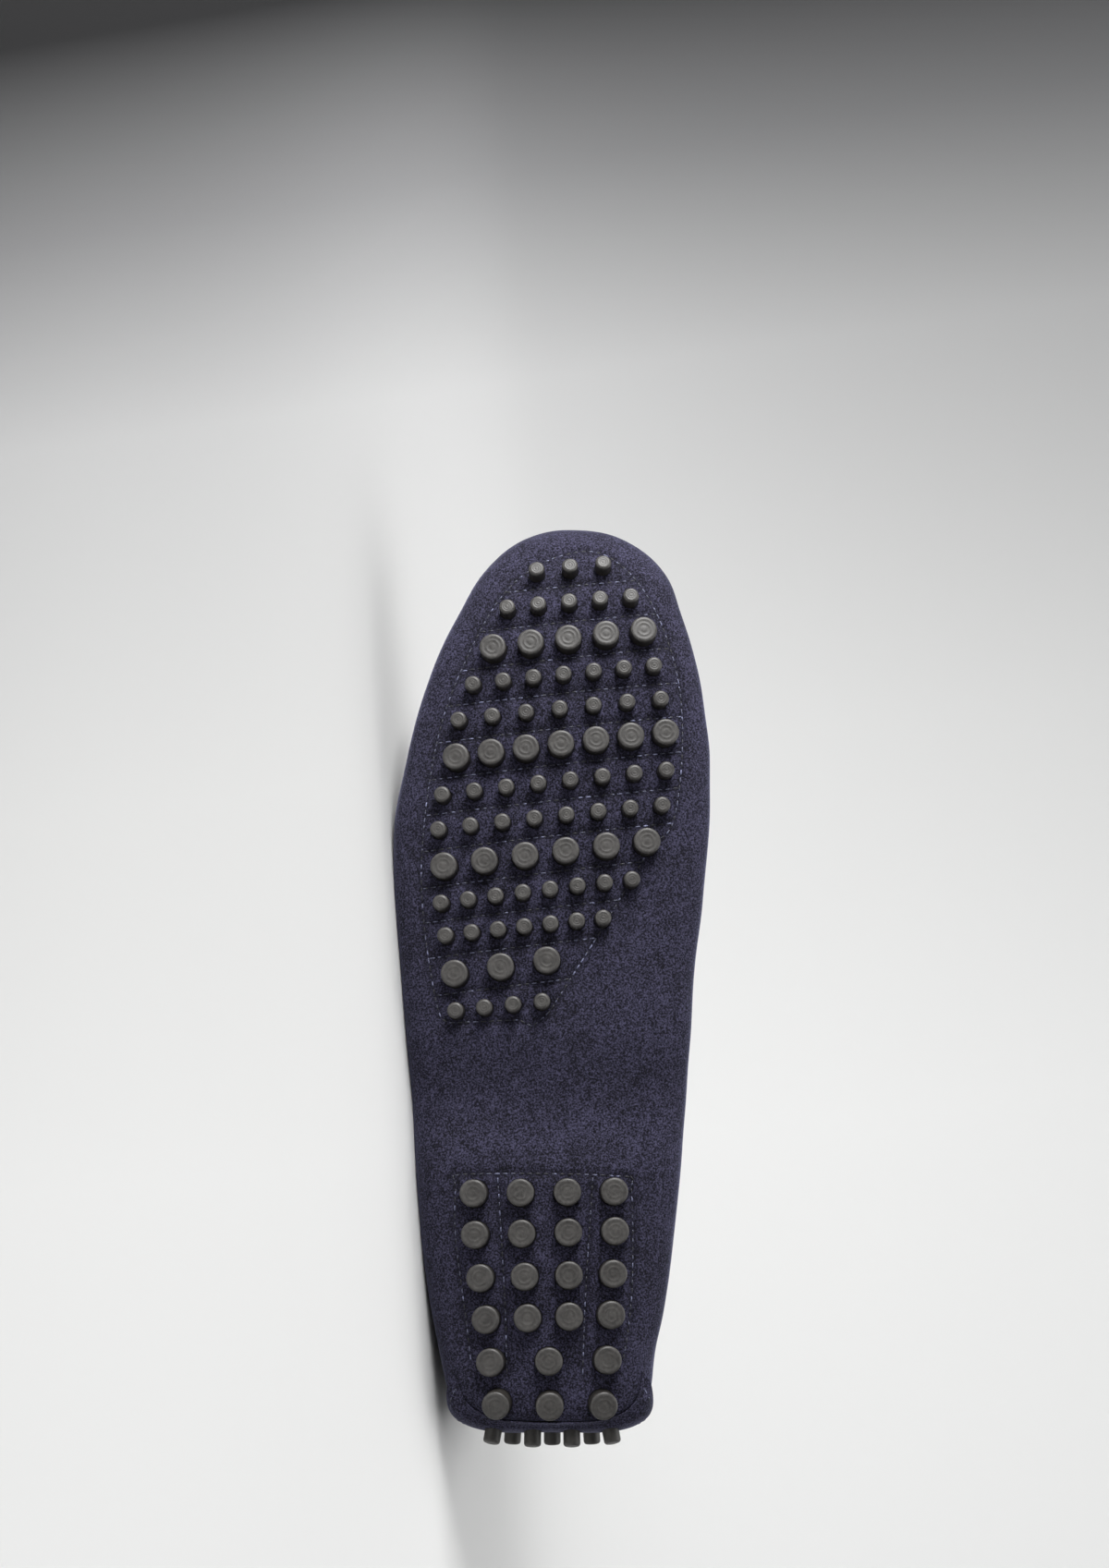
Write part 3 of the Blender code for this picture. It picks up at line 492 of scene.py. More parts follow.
    def outline(self, bend: float = 0.0) -> tuple[Array, Array]:
        """Give turns along one side of the outline and the distance from the heel at each.

        Args:
            bend: What a radian of bend adds to the distance, which draws stations to the bends.

        Returns:
            Turns and distances.
        """
        turns = np.arange(self.dense_points // 2 + 1) / self.dense_points
        share = share_at(turns)
        steps = np.stack([self.length * np.diff(share), np.diff(self.half_width(share))])
        heading = np.concatenate([[np.pi / 2], np.arctan2(steps[1], steps[0])])
        lengths = np.cumsum(np.hypot(*steps) + bend * np.abs(np.diff(heading)))
        return turns, np.concatenate([[0.0], lengths])

    def turn_at(self, distance: Array) -> Array:
        """Give the turn at a distance round the heel, below zero on the outer side."""
        turns, lengths = self.outline()
        return np.sign(distance) * np.interp(np.abs(distance), lengths, turns)

    def distance_of(self, turn: Array) -> Array:
        """Give the distance round the outline from the heel, on either side."""
        turns, lengths = self.outline()
        turn = turn % 1.0
        return np.interp(np.minimum(turn, 1 - turn), turns, lengths)

    def stations(self, count: int, bend: float) -> tuple[Array, int]:
        """Give turns round the whole outline, with one at each end of the throat.

        Args:
            count: How many turns, an even number.
            bend: What a radian of bend is worth in distance.

        Returns:
            The turns, and the number of the one at the throat.
        """
        turns, lengths = self.outline(bend)
        throat_turn = math.acos(1 - 2 * self.throat_at) / (2 * math.pi)
        throat = lengths[np.searchsorted(turns, throat_turn, side="right")]
        half, total = count // 2, lengths[-1]
        behind = round(half * throat / total)
        back = throat * np.arange(behind) / behind
        front = throat + (total - throat) * np.arange(half - behind + 1) / (half - behind)
        inner = np.interp(np.concatenate([back, front]), lengths, turns)
        return np.concatenate([inner, 1 - inner[1:-1][::-1]]), behind

    def recess(self, turn: Array, level: Array) -> Array:
        """Give how far the wrap stands back under the strip and the tab behind the heel."""
        reach = np.minimum(self.distance_of(turn) / self.recess_fade, 1.0)
        round_heel = np.cos(np.pi / 2 * reach) ** 2
        return self.tab_stack * round_heel * smoothstep(self.recess_from, self.recess_to, level)

    def wrap_frame(self, turn: Array, level: Array) -> tuple[Array, Array]:
        """Give places and normals on the outside of the wrap, with its recess behind the heel."""
        turn, level = np.broadcast_arrays(np.asarray(turn, float), np.asarray(level, float))
        here, normal, _ = self.wall_frame(turn, level)
        return here - normal * self.recess(turn, level)[..., None], normal

    def seam_share(self, turn: Array) -> Array:
        """Give how far the lip has turned from the way up, at the heel, to the wall's normal."""
        return smoothstep(self.lip_turns_from, self.throat_at, share_at(turn))

    def rim_frame(self, turn: Array) -> tuple[Array, Array, Array]:
        """Give the rim, the way its lip stands and the way out from the lip.

        Args:
            turn: Turn round the outline.

        Returns:
            Places, unit vectors along the lip and unit vectors out from it.
        """
        _, normal, up = self.wall_frame(turn, np.ones_like(turn))
        here, _ = self.wrap_frame(turn, np.ones_like(turn))
        seam = self.seam_share(turn)[..., None]
        lip = unit(up * (1 - seam) + normal * seam)
        return here, lip, np.cross(lip, np.cross(normal, up))


@dataclass(frozen=True)
class LyingPose:
    """Where the last lies in the frame."""

    turn: Array
    shift: Array

    @classmethod
    def from_pegs(cls, tips: dict[str, tuple[Array, Array]]) -> "LyingPose":
        """Find the pose from peg ends that the record also names as mounts.

        Args:
            tips: For two mounts, the place and direction of the peg's end in the last's frame.

        Returns:
            The pose that lays both peg ends on their mounts.
        """
        mounts = {mount["name"]: mount for mount in frame["record"]["mounts"]}
        last_side = cls._axes([tips[name] for name in tips])
        named = [mounts[name] for name in tips]
        frame_side = cls._axes([(np.array(m["pos_m"]), np.array(m["axis"])) for m in named])
        turn = frame_side[1].T @ last_side[1]
        return cls(turn, frame_side[0] - turn @ last_side[0])

    @staticmethod
    def _axes(ends: list[tuple[Array, Array]]) -> tuple[Array, Array]:
        """Give the middle of two peg ends, and three axes from their line and directions."""
        (first, first_way), (second, second_way) = ends
        along = unit(second - first)
        out = first_way + second_way
        out = unit(out - along * (out @ along))
        return (first + second) / 2, np.array([along, out, np.cross(along, out)])

    def lay(self, points: Array) -> Array:
        """Move points of the last into the frame, pressed flat where they would pass its floor."""
        laid = points @ self.turn.T + self.shift
        laid[..., 2] = np.maximum(laid[..., 2], 0.0)
        return laid

    def way(self, vector: Array) -> Array:
        """Turn a direction of the last into the frame."""
        return self.turn @ np.asarray(vector, float)


class Signal:
    """A number on a node's socket, on which shader sums are written as Python expressions."""

    def __init__(self, sheet: "NodeSheet", socket: bpy.types.NodeSocket) -> None:
        """Wrap a socket.

        Args:
            sheet: The material's nodes.
            socket: The output that carries the number.
        """
        self.sheet = sheet
        self.socket = socket

    def _sum(self, operation: str, first: "Value", second: "Value") -> "Signal":
        """Add a Math node on two values."""
        return self.sheet.node("ShaderNodeMath", {"operation": operation}, {0: first, 1: second})

    def __add__(self, other: "Value") -> "Signal":
        """Add a value."""
        return self._sum("ADD", self, other)

    def __radd__(self, other: "Value") -> "Signal":
        """Add to a value."""
        return self._sum("ADD", other, self)

    def __sub__(self, other: "Value") -> "Signal":
        """Take a value away."""
        return self._sum("SUBTRACT", self, other)

    def __rsub__(self, other: "Value") -> "Signal":
        """Take from a value."""
        return self._sum("SUBTRACT", other, self)

    def __mul__(self, other: "Value") -> "Signal":
        """Multiply by a value."""
        return self._sum("MULTIPLY", self, other)

    def __rmul__(self, other: "Value") -> "Signal":
        """Multiply a value."""
        return self._sum("MULTIPLY", other, self)

    def clipped(self) -> "Signal":
        """Hold the number between 0 and 1."""
        settings = {"interpolation_type": "LINEAR", "clamp": True}
        return self.sheet.node("ShaderNodeMapRange", settings, {"Value": self})


Value = Union[Signal, float]


class NodeSheet:
    """The nodes of one material."""

    def __init__(self, name: str) -> None:
        """Start a material that holds a Principled BSDF alone.

        Args:
            name: The material's name.
        """
        self.material = bpy.data.materials.new(name)
        self.material.use_nodes = True
        self.tree = self.material.node_tree
        self.shader = self.tree.nodes["Principled BSDF"]

    def node(self, kind: str, settings: dict, values: dict, output: int = 0) -> Signal:
        """Add a node.

        Args:
            kind: The node's type.
            settings: Its settings, set before its sockets.
            values: Values or links for its input sockets, by name or number.
            output: Which output carries on.

        Returns:
            The output as a signal.
        """
        made = self.tree.nodes.new(kind)
        for name, setting in settings.items():
            if name == "stops":
                self._set_stops(made.color_ramp, setting)
            else:
                setattr(made, name, setting)
        for key, value in values.items():
            if isinstance(value, Signal):
                self.tree.links.new(value.socket, made.inputs[key])
            else:
                made.inputs[key].default_value = value
        return Signal(self, made.outputs[output])

    @staticmethod
    def _set_stops(ramp: bpy.types.ColorRamp, stops: Sequence[tuple[float, Colour]]) -> None:
        """Set a ramp's colours.

        Args:
            ramp: The ramp, as Blender makes it with two stops.
            stops: Where each colour lies, the first at 0 and the last at 1.
        """
        for position, _ in stops[1:-1]:
            ramp.elements.new(position)
        for element, (_, colour) in zip(ramp.elements, stops):
            element.color = colour

    def place(self) -> Signal:
        """Give the piece's own coordinates, in metres."""
        return self.node("ShaderNodeTexCoord", {}, {}, output=3)

    def noise(
        self, place: Signal, grain: float, detail: float = 2.0, roughness: float = 0.5
    ) -> Signal:
        """Add a noise.

        Args:
            place: Coordinates.
            grain: Size of its blots in metres.
            detail: How many finer layers it has.
            roughness: How strong these are.

        Returns:
            A number round 0.5.
        """
        values = {"Vector": place, "Scale": 1 / grain, "Detail": detail, "Roughness": roughness}
        return self.node("ShaderNodeTexNoise", {}, values)

    def ramp(self, factor: Signal, stops: Sequence[tuple[float, Colour]]) -> Signal:
        """Turn a number into a colour.

        Args:
            factor: The number, from 0 to 1.
            stops: Where each colour lies.

        Returns:
            The colour.
        """
        return self.node("ShaderNodeValToRGB", {"stops": stops}, {"Fac": factor})

    def attribute(self, name: str) -> Signal:
        """Read a number that the mesh keeps at its points."""
        return self.node("ShaderNodeAttribute", {"attribute_name": name}, {}, output=2)

    def mix(
        self, factor: Value, first: Union[Signal, Colour], second: Union[Signal, Colour]
    ) -> Signal:
        """Mix two colours.

        Args:
            factor: Share of the second.
            first: Colour at 0.
            second: Colour at 1.

        Returns:
            The mixed colour.
        """
        values = {0: factor, 6: first, 7: second}
        return self.node("ShaderNodeMix", {"data_type": "RGBA"}, values, output=2)

    def bump(self, height: Signal, distance: float, strength: float) -> Signal:
        """Add a bump.

        Args:
            height: Height from 0 to 1.
            distance: What 1 stands for, in metres.
            strength: How much of it shows.

        Returns:
            The bent normal.
        """
        values = {"Height": height, "Distance": distance, "Strength": strength}
        return self.node("ShaderNodeBump", {}, values)

    def feed(self, values: dict) -> bpy.types.Material:
        """Set or link the shader's sockets.

        Args:
            values: Values or signals by socket name.

        Returns:
            The finished material.
        """
        for name, value in values.items():
            if isinstance(value, Signal):
                self.tree.links.new(value.socket, self.shader.inputs[name])
            else:
                self.shader.inputs[name].default_value = value
        return self.material


def paint(red: int, green: int, blue: int) -> Colour:
    """Turn a colour as a screen shows it into the shader's numbers.

    Args:
        red: Red from 0 to 255.
        green: Green from 0 to 255.
        blue: Blue from 0 to 255.

    Returns:
        Linear red, green and blue, and 1.
    """
    shown = [channel / 255 for channel in (red, green, blue)]
    linear = [c / 12.92 if c <= 0.04045 else ((c + 0.055) / 1.055) ** 2.4 for c in shown]
    return (linear[0], linear[1], linear[2], 1.0)


@dataclass(frozen=True)
class SuedeFinish:
    """Napped navy suede: a salt and pepper nap under soft brushed clouds, with painted shade along
    the seams.
    """

    shade: Colour = paint(15, 14, 22)
    light: Colour = paint(71, 69, 92)
    # seam is the colour of the painted shade along the seam troughs.
    seam: Colour = paint(13, 12, 20)
    nap: float = 0.00056
    brush: float = 7.0
    cloud: float = 0.014
    tone: float = 0.29
    nap_contrast: float = 4.2
    soft_contrast: float = 0.50
    seam_shade_strength: float = 0.55
    nap_depth: float = 0.00024
    nap_strength: float = 0.55

    def material(self, name: str) -> bpy.types.Material:
        """Make the material.

        Args:
            name: The material's name.

        Returns:
            The material.
        """
        sheet = NodeSheet(name)
        place = sheet.place()
        nap = sheet.noise(place, self.nap, 3.0, 0.65)
        brushed = sheet.noise(place, self.nap * self.brush, 2.0)
        cloud = sheet.noise(place, self.cloud, 3.0)
        tone = self.tone + (nap - 0.5) * self.nap_contrast
        tone = tone + (brushed - 0.5) * self.soft_contrast + (cloud - 0.5) * self.soft_contrast
        colour = sheet.mix(tone.clipped(), self.shade, self.light)
        # Painted shade: the seam attribute darkens the suede along the seams.
        colour = sheet.mix(sheet.attribute("seam") * self.seam_shade_strength, colour, self.seam)
        height = nap * 0.7 + brushed * 0.5
        return sheet.feed({
            "Base Color": colour,
            "Roughness": 0.88 + (cloud - 0.5) * 0.2,
            "Specular IOR Level": 0.15,
            "Sheen Weight": 0.46,
            "Sheen Roughness": 0.36,
            "Sheen Tint": paint(168, 170, 205),
            "Normal": sheet.bump(height, self.nap_depth, self.nap_strength),
        })


@dataclass(frozen=True)
class RubberFinish:
    """Matt dark grey rubber, with painted light on the pegs' ends, painted shade on their sides and
    a little paler rim where it is worn.
    """

    # The side colours are painted shade, a darker copy of the rubber. The end colours carry painted
    # light.
    side: Colour = paint(27, 25, 22)
    shaded_side_pale: Colour = paint(46, 43, 39)
    end: Colour = paint(47, 45, 44)
    lit_end_pale: Colour = paint(77, 75, 73)
    speck: float = 0.0009
    mottle: float = 0.004
    tone: float = 0.45
    mottle_contrast: float = 1.3
    speck_contrast: float = 1.6
    speck_depth: float = 0.00008

    def material(self, name: str) -> bpy.types.Material:
        """Make the material.

        Args:
            name: The material's name.

        Returns:
            The material.
        """
        sheet = NodeSheet(name)
        place = sheet.place()
        mottle = sheet.noise(place, self.mottle, 3.0)
        speck = sheet.noise(place, self.speck, 3.0, 0.6)
        tone = self.tone + (mottle - 0.5) * self.mottle_contrast
        tone = tone + (speck - 0.5) * self.speck_contrast
        side = sheet.mix(tone.clipped(), self.side, self.shaded_side_pale)
        end = sheet.mix(tone.clipped(), self.end, self.lit_end_pale)
        # The worn attribute mixes the painted shade of the sides with the painted light and wear of
        # the ends.
        return sheet.feed({
            "Base Color": sheet.mix(sheet.attribute("worn"), side, end),
            "Roughness": 0.47 + (speck - 0.5) * 0.3,
            "Specular IOR Level": 0.5,
            "Normal": sheet.bump(speck, self.speck_depth, 0.35),
        })


@dataclass(frozen=True)
class ThreadFinish:
    """Waxed navy thread with painted glints, paler blots that stand in for light caught on it."""

    # light is the colour of the painted glints.
    shade: Colour = paint(17, 17, 26)
    light: Colour = paint(128, 132, 166)
    painted_glint: float = 0.0026
    strand: float = 0.0005
    strand_depth: float = 0.0001
    tone: float = 0.08
    painted_glint_contrast: float = 3.0
    strand_contrast: float = 1.6

    def material(self, name: str) -> bpy.types.Material:
        """Make the material.

        Args:
            name: The material's name.

        Returns:
            The material.
        """
        sheet = NodeSheet(name)
        strand = sheet.noise(sheet.place(), self.strand, 2.0)
        # Painted glints: paler blots where the thread would catch the light.
        painted_glint = sheet.noise(sheet.place(), self.painted_glint, 1.0)
        tone = self.tone + (painted_glint - 0.5) * self.painted_glint_contrast
        tone = tone + (strand - 0.5) * self.strand_contrast
        return sheet.feed({
            "Base Color": sheet.mix(tone.clipped(), self.shade, self.light),
            "Roughness": 0.45 + strand * 0.2,
            "Specular IOR Level": 0.5,
            "Normal": sheet.bump(strand, self.strand_depth, 0.5),
        })


@dataclass(frozen=True)
class LiningFinish:
    """Smooth dark leather with a fine grain, for the insole and the inside of the upper."""

    shade: Colour = paint(46, 43, 55)
    light: Colour = paint(74, 70, 86)
    grain: float = 0.0011
    cloud: float = 0.02
    grain_depth: float = 0.00012

    def material(self, name: str) -> bpy.types.Material:
        """Make the material.

        Args:
            name: The material's name.

        Returns:
            The material.
        """
        sheet = NodeSheet(name)
        place = sheet.place()
        values = {"Vector": place, "Scale": 1 / self.grain}
        cells = sheet.node("ShaderNodeTexVoronoi", {"feature": "SMOOTH_F1"}, values)
        cloud = sheet.noise(place, self.cloud, 3.0)
        tone = 0.5 + (cloud - 0.5) * 1.2 - cells * 0.25
        return sheet.feed({
            "Base Color": sheet.mix(tone.clipped(), self.shade, self.light),
            "Roughness": 0.52 + (cloud - 0.5) * 0.3,
            "Normal": sheet.bump(1 - cells, self.grain_depth, 0.5),
        })


@dataclass(frozen=True)
class FloorFinish:
    """Seamless paper with painted shade: pale at the heel and darkening beyond the toe where the
    light falls off, with more painted shade over its front.

    The fade follows lines of the floor that fan out from a point in front of the heel.
    """

    heel_line: float = 0.106
    front_line: float = -0.824
    # The ramp paints the fall of light, from pale at the heel to dark beyond the toe.
    stops: tuple[tuple[float, Colour], ...] = (
        (0.00, paint(240, 240, 239)), (0.25, paint(238, 238, 237)), (0.48, paint(224, 224, 223)),
        (0.72, paint(197, 197, 197)), (0.86, paint(138, 138, 139)), (1.00, paint(42, 42, 43)),
    )
    lowest: float = -0.10
    highest: float = 0.56
    # Painted shade over the front of the floor, deeper towards the toe.
    front_shade: Colour = paint(238, 238, 238)
    front_shade_at_toe: Colour = paint(192, 192, 192)
    front_from: float = 0.35
    front_to: float = -0.25
    narrowest: float = 0.2

    def material(self, name: str) -> bpy.types.Material:
        """Make the material.

        Args:
            name: The material's name.

        Returns:
            The material.
        """
        sheet = NodeSheet(name)
        place = sheet.place()
        along = sheet.node("ShaderNodeSeparateXYZ", {}, {0: place})
        across = sheet.node("ShaderNodeSeparateXYZ", {}, {0: place}, output=1)
        values = {0: across - self.front_line, 1: self.narrowest}
        width = sheet.node("ShaderNodeMath", {"operation": "MAXIMUM"}, values)
        values = {0: self.heel_line - along, 1: width}
        slope = sheet.node("ShaderNodeMath", {"operation": "DIVIDE"}, values)
        span = {"Value": slope, "From Min": self.lowest, "From Max": self.highest}
        fade = sheet.node("ShaderNodeMapRange", {}, span)
        span = {"Value": across, "From Min": self.front_from, "From Max": self.front_to}
        front = sheet.node("ShaderNodeMapRange", {"interpolation_type": "SMOOTHSTEP"}, span)
        # The ramp's painted shade is multiplied by the painted shade of the front.
        settings = {"data_type": "RGBA", "blend_type": "MULTIPLY"}
        shade = sheet.mix(fade, self.front_shade, self.front_shade_at_toe)
        values = {0: front, 6: sheet.ramp(fade, self.stops), 7: shade}
        return sheet.feed({
            "Base Color": sheet.node("ShaderNodeMix", settings, values, output=2),
            "Roughness": 0.9,
            "Specular IOR Level": 0.1,
        })


def grid_faces(index: Array, turned: bool = False) -> list[list[int]]:
    """Give the faces of a grid of points.

    Args:
        index: Numbers of the points, in rows.
        turned: Whether the faces look the other way.

    Returns:
        Four-sided faces.
    """
    corners = [index[:-1, :-1], index[1:, :-1], index[1:, 1:], index[:-1, 1:]]
    if turned:
        corners.reverse()
    return np.stack(corners, -1).reshape(-1, 4).tolist()


def numbered(grid: Array, start: int = 0) -> Array:
    """Number the points of a grid, row by row."""
    return start + np.arange(grid.shape[0] * grid.shape[1]).reshape(grid.shape[:2])


def grid_normals(grid: Array) -> Array:
    """Give the upward normals of a grid."""
    normal = unit(np.cross(np.gradient(grid, axis=0), np.gradient(grid, axis=1)))
    return normal * np.sign(normal[..., 2:] + 1e-9)


def closed_rows(index: Array) -> Array:
    """Repeat the first column of a grid after its last, so that its rows close."""
    return np.hstack([index, index[:, :1]])


def half_round(middle: Array, out: Array, up: Array, count: int) -> Array:
    """Round an edge over, from its inner to its outer side.

    Args:
        middle: Middles of the round, along the edge.
        out: Way and distance to the outer side.
        up: Way and distance to the top.
        count: How many rings it has.

    Returns:
        The rings.
    """
    angles = np.linspace(math.pi, 0.0, count)
    return np.stack([middle + out * np.cos(a) + up * np.sin(a) for a in angles])


def coons(bottom: Array, top: Array, left: Array, right: Array) -> Array:
    """Fill four edges with a grid of points that is blended from them.

    Args:
        bottom: Points from left to right.
        top: Points from left to right.
        left: Points from bottom to top.
        right: Points from bottom to top.

    Returns:
        Points in rows from bottom to top.
    """
    u = np.linspace(0, 1, len(bottom))[None, :, None]
    v = np.linspace(0, 1, len(left))[:, None, None]
    across = left[:, None] * (1 - u) + right[:, None] * u
    along = bottom[None] * (1 - v) + top[None] * v
    corners = (bottom[0] * (1 - u) + bottom[-1] * u) * (1 - v)
    corners = corners + (top[0] * (1 - u) + top[-1] * u) * v
    return across + along - corners


def smooth_path(places: Sequence[tuple[float, float]], per_span: int) -> Array:
    """Draw a smooth curve through places.

    Args:
        places: Places that the curve passes.
        per_span: Points from one place to the next.

    Returns:
        Points on the curve.
    """
    knots = np.array(places, float)
    slopes = np.gradient(knots, axis=0)
    t = np.linspace(0, 1, per_span, endpoint=False)[:, None]
    runs = []
    for a, b, start, end in zip(knots, knots[1:], slopes, slopes[1:]):
        bend = start * (t**3 - 2 * t**2 + t) + end * (t**3 - t**2)
        runs.append(a * (2 * t**3 - 3 * t**2 + 1) + b * (3 * t**2 - 2 * t**3) + bend)
    return np.concatenate([*runs, knots[-1:]])


def spaced(path: Array, pitch: float) -> Array:
    """Set points evenly along a path.

    Args:
        path: Points of the path, with what else is kept at them after their place.
        pitch: About how far apart, adjusted so that the last point ends the path.

    Returns:
        The evenly spaced points.
    """
    steps = np.linalg.norm(np.diff(path[:, :3], axis=0), axis=1)
    lengths = np.concatenate([[0.0], np.cumsum(steps)])
    count = max(int(round(lengths[-1] / pitch)), 1)
    marks = np.linspace(0, lengths[-1], count + 1)
    return np.stack([np.interp(marks, lengths, path[:, k]) for k in range(path.shape[1])], -1)


def ripple(
    points: Array, waves: int = 14, longest: float = 0.040, shortest: float = 0.011
) -> Array:
    """Give a gentle unevenness for soft leather, the same on each run.

    Args:
        points: Places.
        waves: How many waves are added up.
        longest: Longest wave in metres.
        shortest: Shortest wave in metres.

    Returns:
        A number of about -1 to 1 for each place.
    """
    draw = np.random.default_rng(7)
    ways = unit(draw.normal(size=(waves, 3)))
    lengths = np.geomspace(shortest, longest, waves)
    phases = draw.uniform(0, 2 * np.pi, waves)
    angles = points @ (ways / lengths[:, None] * 2 * np.pi).T + phases
    return np.sin(angles) @ (lengths / lengths.sum()) * 2.2


@dataclass
class Shape:
    """Points and faces of a mesh, with a number at each point for its finish."""

    points: Array
    faces: list[list[int]]
    mark: Array

    @classmethod
    def plain(cls, points: Array, faces: list[list[int]]) -> "Shape":
        """Make a shape with nothing marked."""
        return cls(points, faces, np.zeros(len(points)))

    @classmethod
    def taken_from(
        cls, obj: bpy.types.Object, mark: Optional[Callable[[Array], Array]] = None
    ) -> "Shape":
        """Read an object's mesh and take the object out of the scene.

        Args:
            obj: The object.
            mark: Gives the number at each point from the points.

        Returns:
            Its shape.
        """
        points = np.array([vert.co[:] for vert in obj.data.vertices])
        faces = [list(face.vertices) for face in obj.data.polygons]
        bpy.data.objects.remove(obj)
        return cls(points, faces, mark(points) if mark else np.zeros(len(points)))

    def stamped(self, places: Array, axes: Array) -> "Shape":
        """Copy the shape to many places.

        Args:
            places: Where each copy's origin goes.
            axes: Each copy's three axes, as rows.

        Returns:
            All the copies as one shape.
        """
        points = np.einsum("pk,nkc->npc", self.points, axes) + places[:, None]
        count = len(self.points)
        faces = [[i + n * count for i in face] for n in range(len(places)) for face in self.faces]
        return Shape(points.reshape(-1, 3), faces, np.tile(self.mark, len(places)))

    def joined(self, *others: "Shape") -> "Shape":
        """Put other shapes with this one.

        Args:
            others: The other shapes.

        Returns:
            One shape that holds them all.
        """
        shape = self
        for other in others:
            offset = len(shape.points)
            faces = shape.faces + [[i + offset for i in face] for face in other.faces]
            points = np.concatenate([shape.points, other.points])
            shape = Shape(points, faces, np.concatenate([shape.mark, other.mark]))
        return shape


def closed_body(low: Array, high: Array) -> Shape:
    """Close two sheets of the same grid into one body.

    Args:
        low: Points of the inner sheet.
        high: Points of the outer sheet.

    Returns:
        The closed shape.
    """
    index = numbered(low)
    rim = np.concatenate([index[0, :-1], index[:-1, -1], index[-1, :0:-1], index[:0:-1, 0]])
    faces = grid_faces(index, turned=True) + grid_faces(index + index.size)
    faces += grid_faces(closed_rows(np.stack([rim, rim + index.size])))
    return Shape.plain(np.concatenate([low.reshape(-1, 3), high.reshape(-1, 3)]), faces)


def axes_from(normals: Array, along: Array) -> Array:
    """Give axes whose third is the normal and whose first lies along a direction.

    Args:
        normals: Directions that the third axes take.
        along: Directions that the first axes take as nearly as they can.

    Returns:
        Three rows for each normal.
    """
    first = unit(along - normals * np.sum(along * normals, -1, keepdims=True))
    return np.stack([first, np.cross(normals, first), normals], 1)


def make_active(obj: bpy.types.Object) -> None:
    """Select an object alone and make it the active one."""
    bpy.ops.object.select_all(action="DESELECT")
    obj.select_set(True)
    bpy.context.view_layer.objects.active = obj


def pick(obj: bpy.types.Object, choose: Callable[[Vector, Vector], bool]) -> None:
    """Select an edit-mode object's faces by their middle and normal, and nothing else.

    Args:
        obj: The object, in edit mode.
        choose: Says whether a face is selected.
    """
    bpy.ops.mesh.select_all(action="DESELECT")
    bpy.ops.object.mode_set(mode="OBJECT")
    for face in obj.data.polygons:
        face.select = choose(face.center, face.normal)
    bpy.ops.object.mode_set(mode="EDIT")


def start_editing(add: Callable[..., set], **settings: object) -> bpy.types.Object:
    """Add a primitive and open it for editing.

    Args:
        add: The operator that adds it.
        settings: The operator's settings.

    Returns:
        The new object, in edit mode with faces to be selected.
    """
    bpy.ops.object.select_all(action="DESELECT")
    add(**settings)
    obj = bpy.context.active_object
    bpy.ops.object.transform_apply(location=True, rotation=True, scale=True)
    bpy.ops.object.mode_set(mode="EDIT")
    bpy.ops.mesh.select_mode(type="FACE")
    return obj


@dataclass(frozen=True)
class ThreadArch:
    """One sewn stitch, a short arch of thread whose ends dive into the leather."""

    span: float
    rise: float
    gauge: float
    sides: int = 6
    steps: int = 6
    sink: float = 0.0004

    def shape(self) -> Shape:
        """Model the stitch by spinning a ring of thread through half a turn, upwards.

        Returns:
            The stitch along X, standing on the plane of its holes.
        """
        obj = start_editing(
            bpy.ops.mesh.primitive_circle_add, vertices=self.sides, radius=self.gauge / 2,
            fill_type="NGON", location=(-self.span / 2, 0.0, 0.0),
        )
        bpy.ops.mesh.select_all(action="SELECT")
        bpy.ops.mesh.spin(steps=self.steps, angle=-math.pi, center=(0, 0, 0), axis=(0, 1, 0))
        bpy.ops.mesh.select_all(action="SELECT")
        stretch = self.rise / (self.span / 2)
        bpy.ops.transform.resize(value=(1.0, 1.0, stretch), orient_type="GLOBAL")
        bpy.ops.mesh.normals_make_consistent(inside=False)
        bpy.ops.object.mode_set(mode="OBJECT")
        shape = Shape.taken_from(obj)
        shape.points[:, 2] -= shape.points[:, 2].min() + self.sink
        return shape


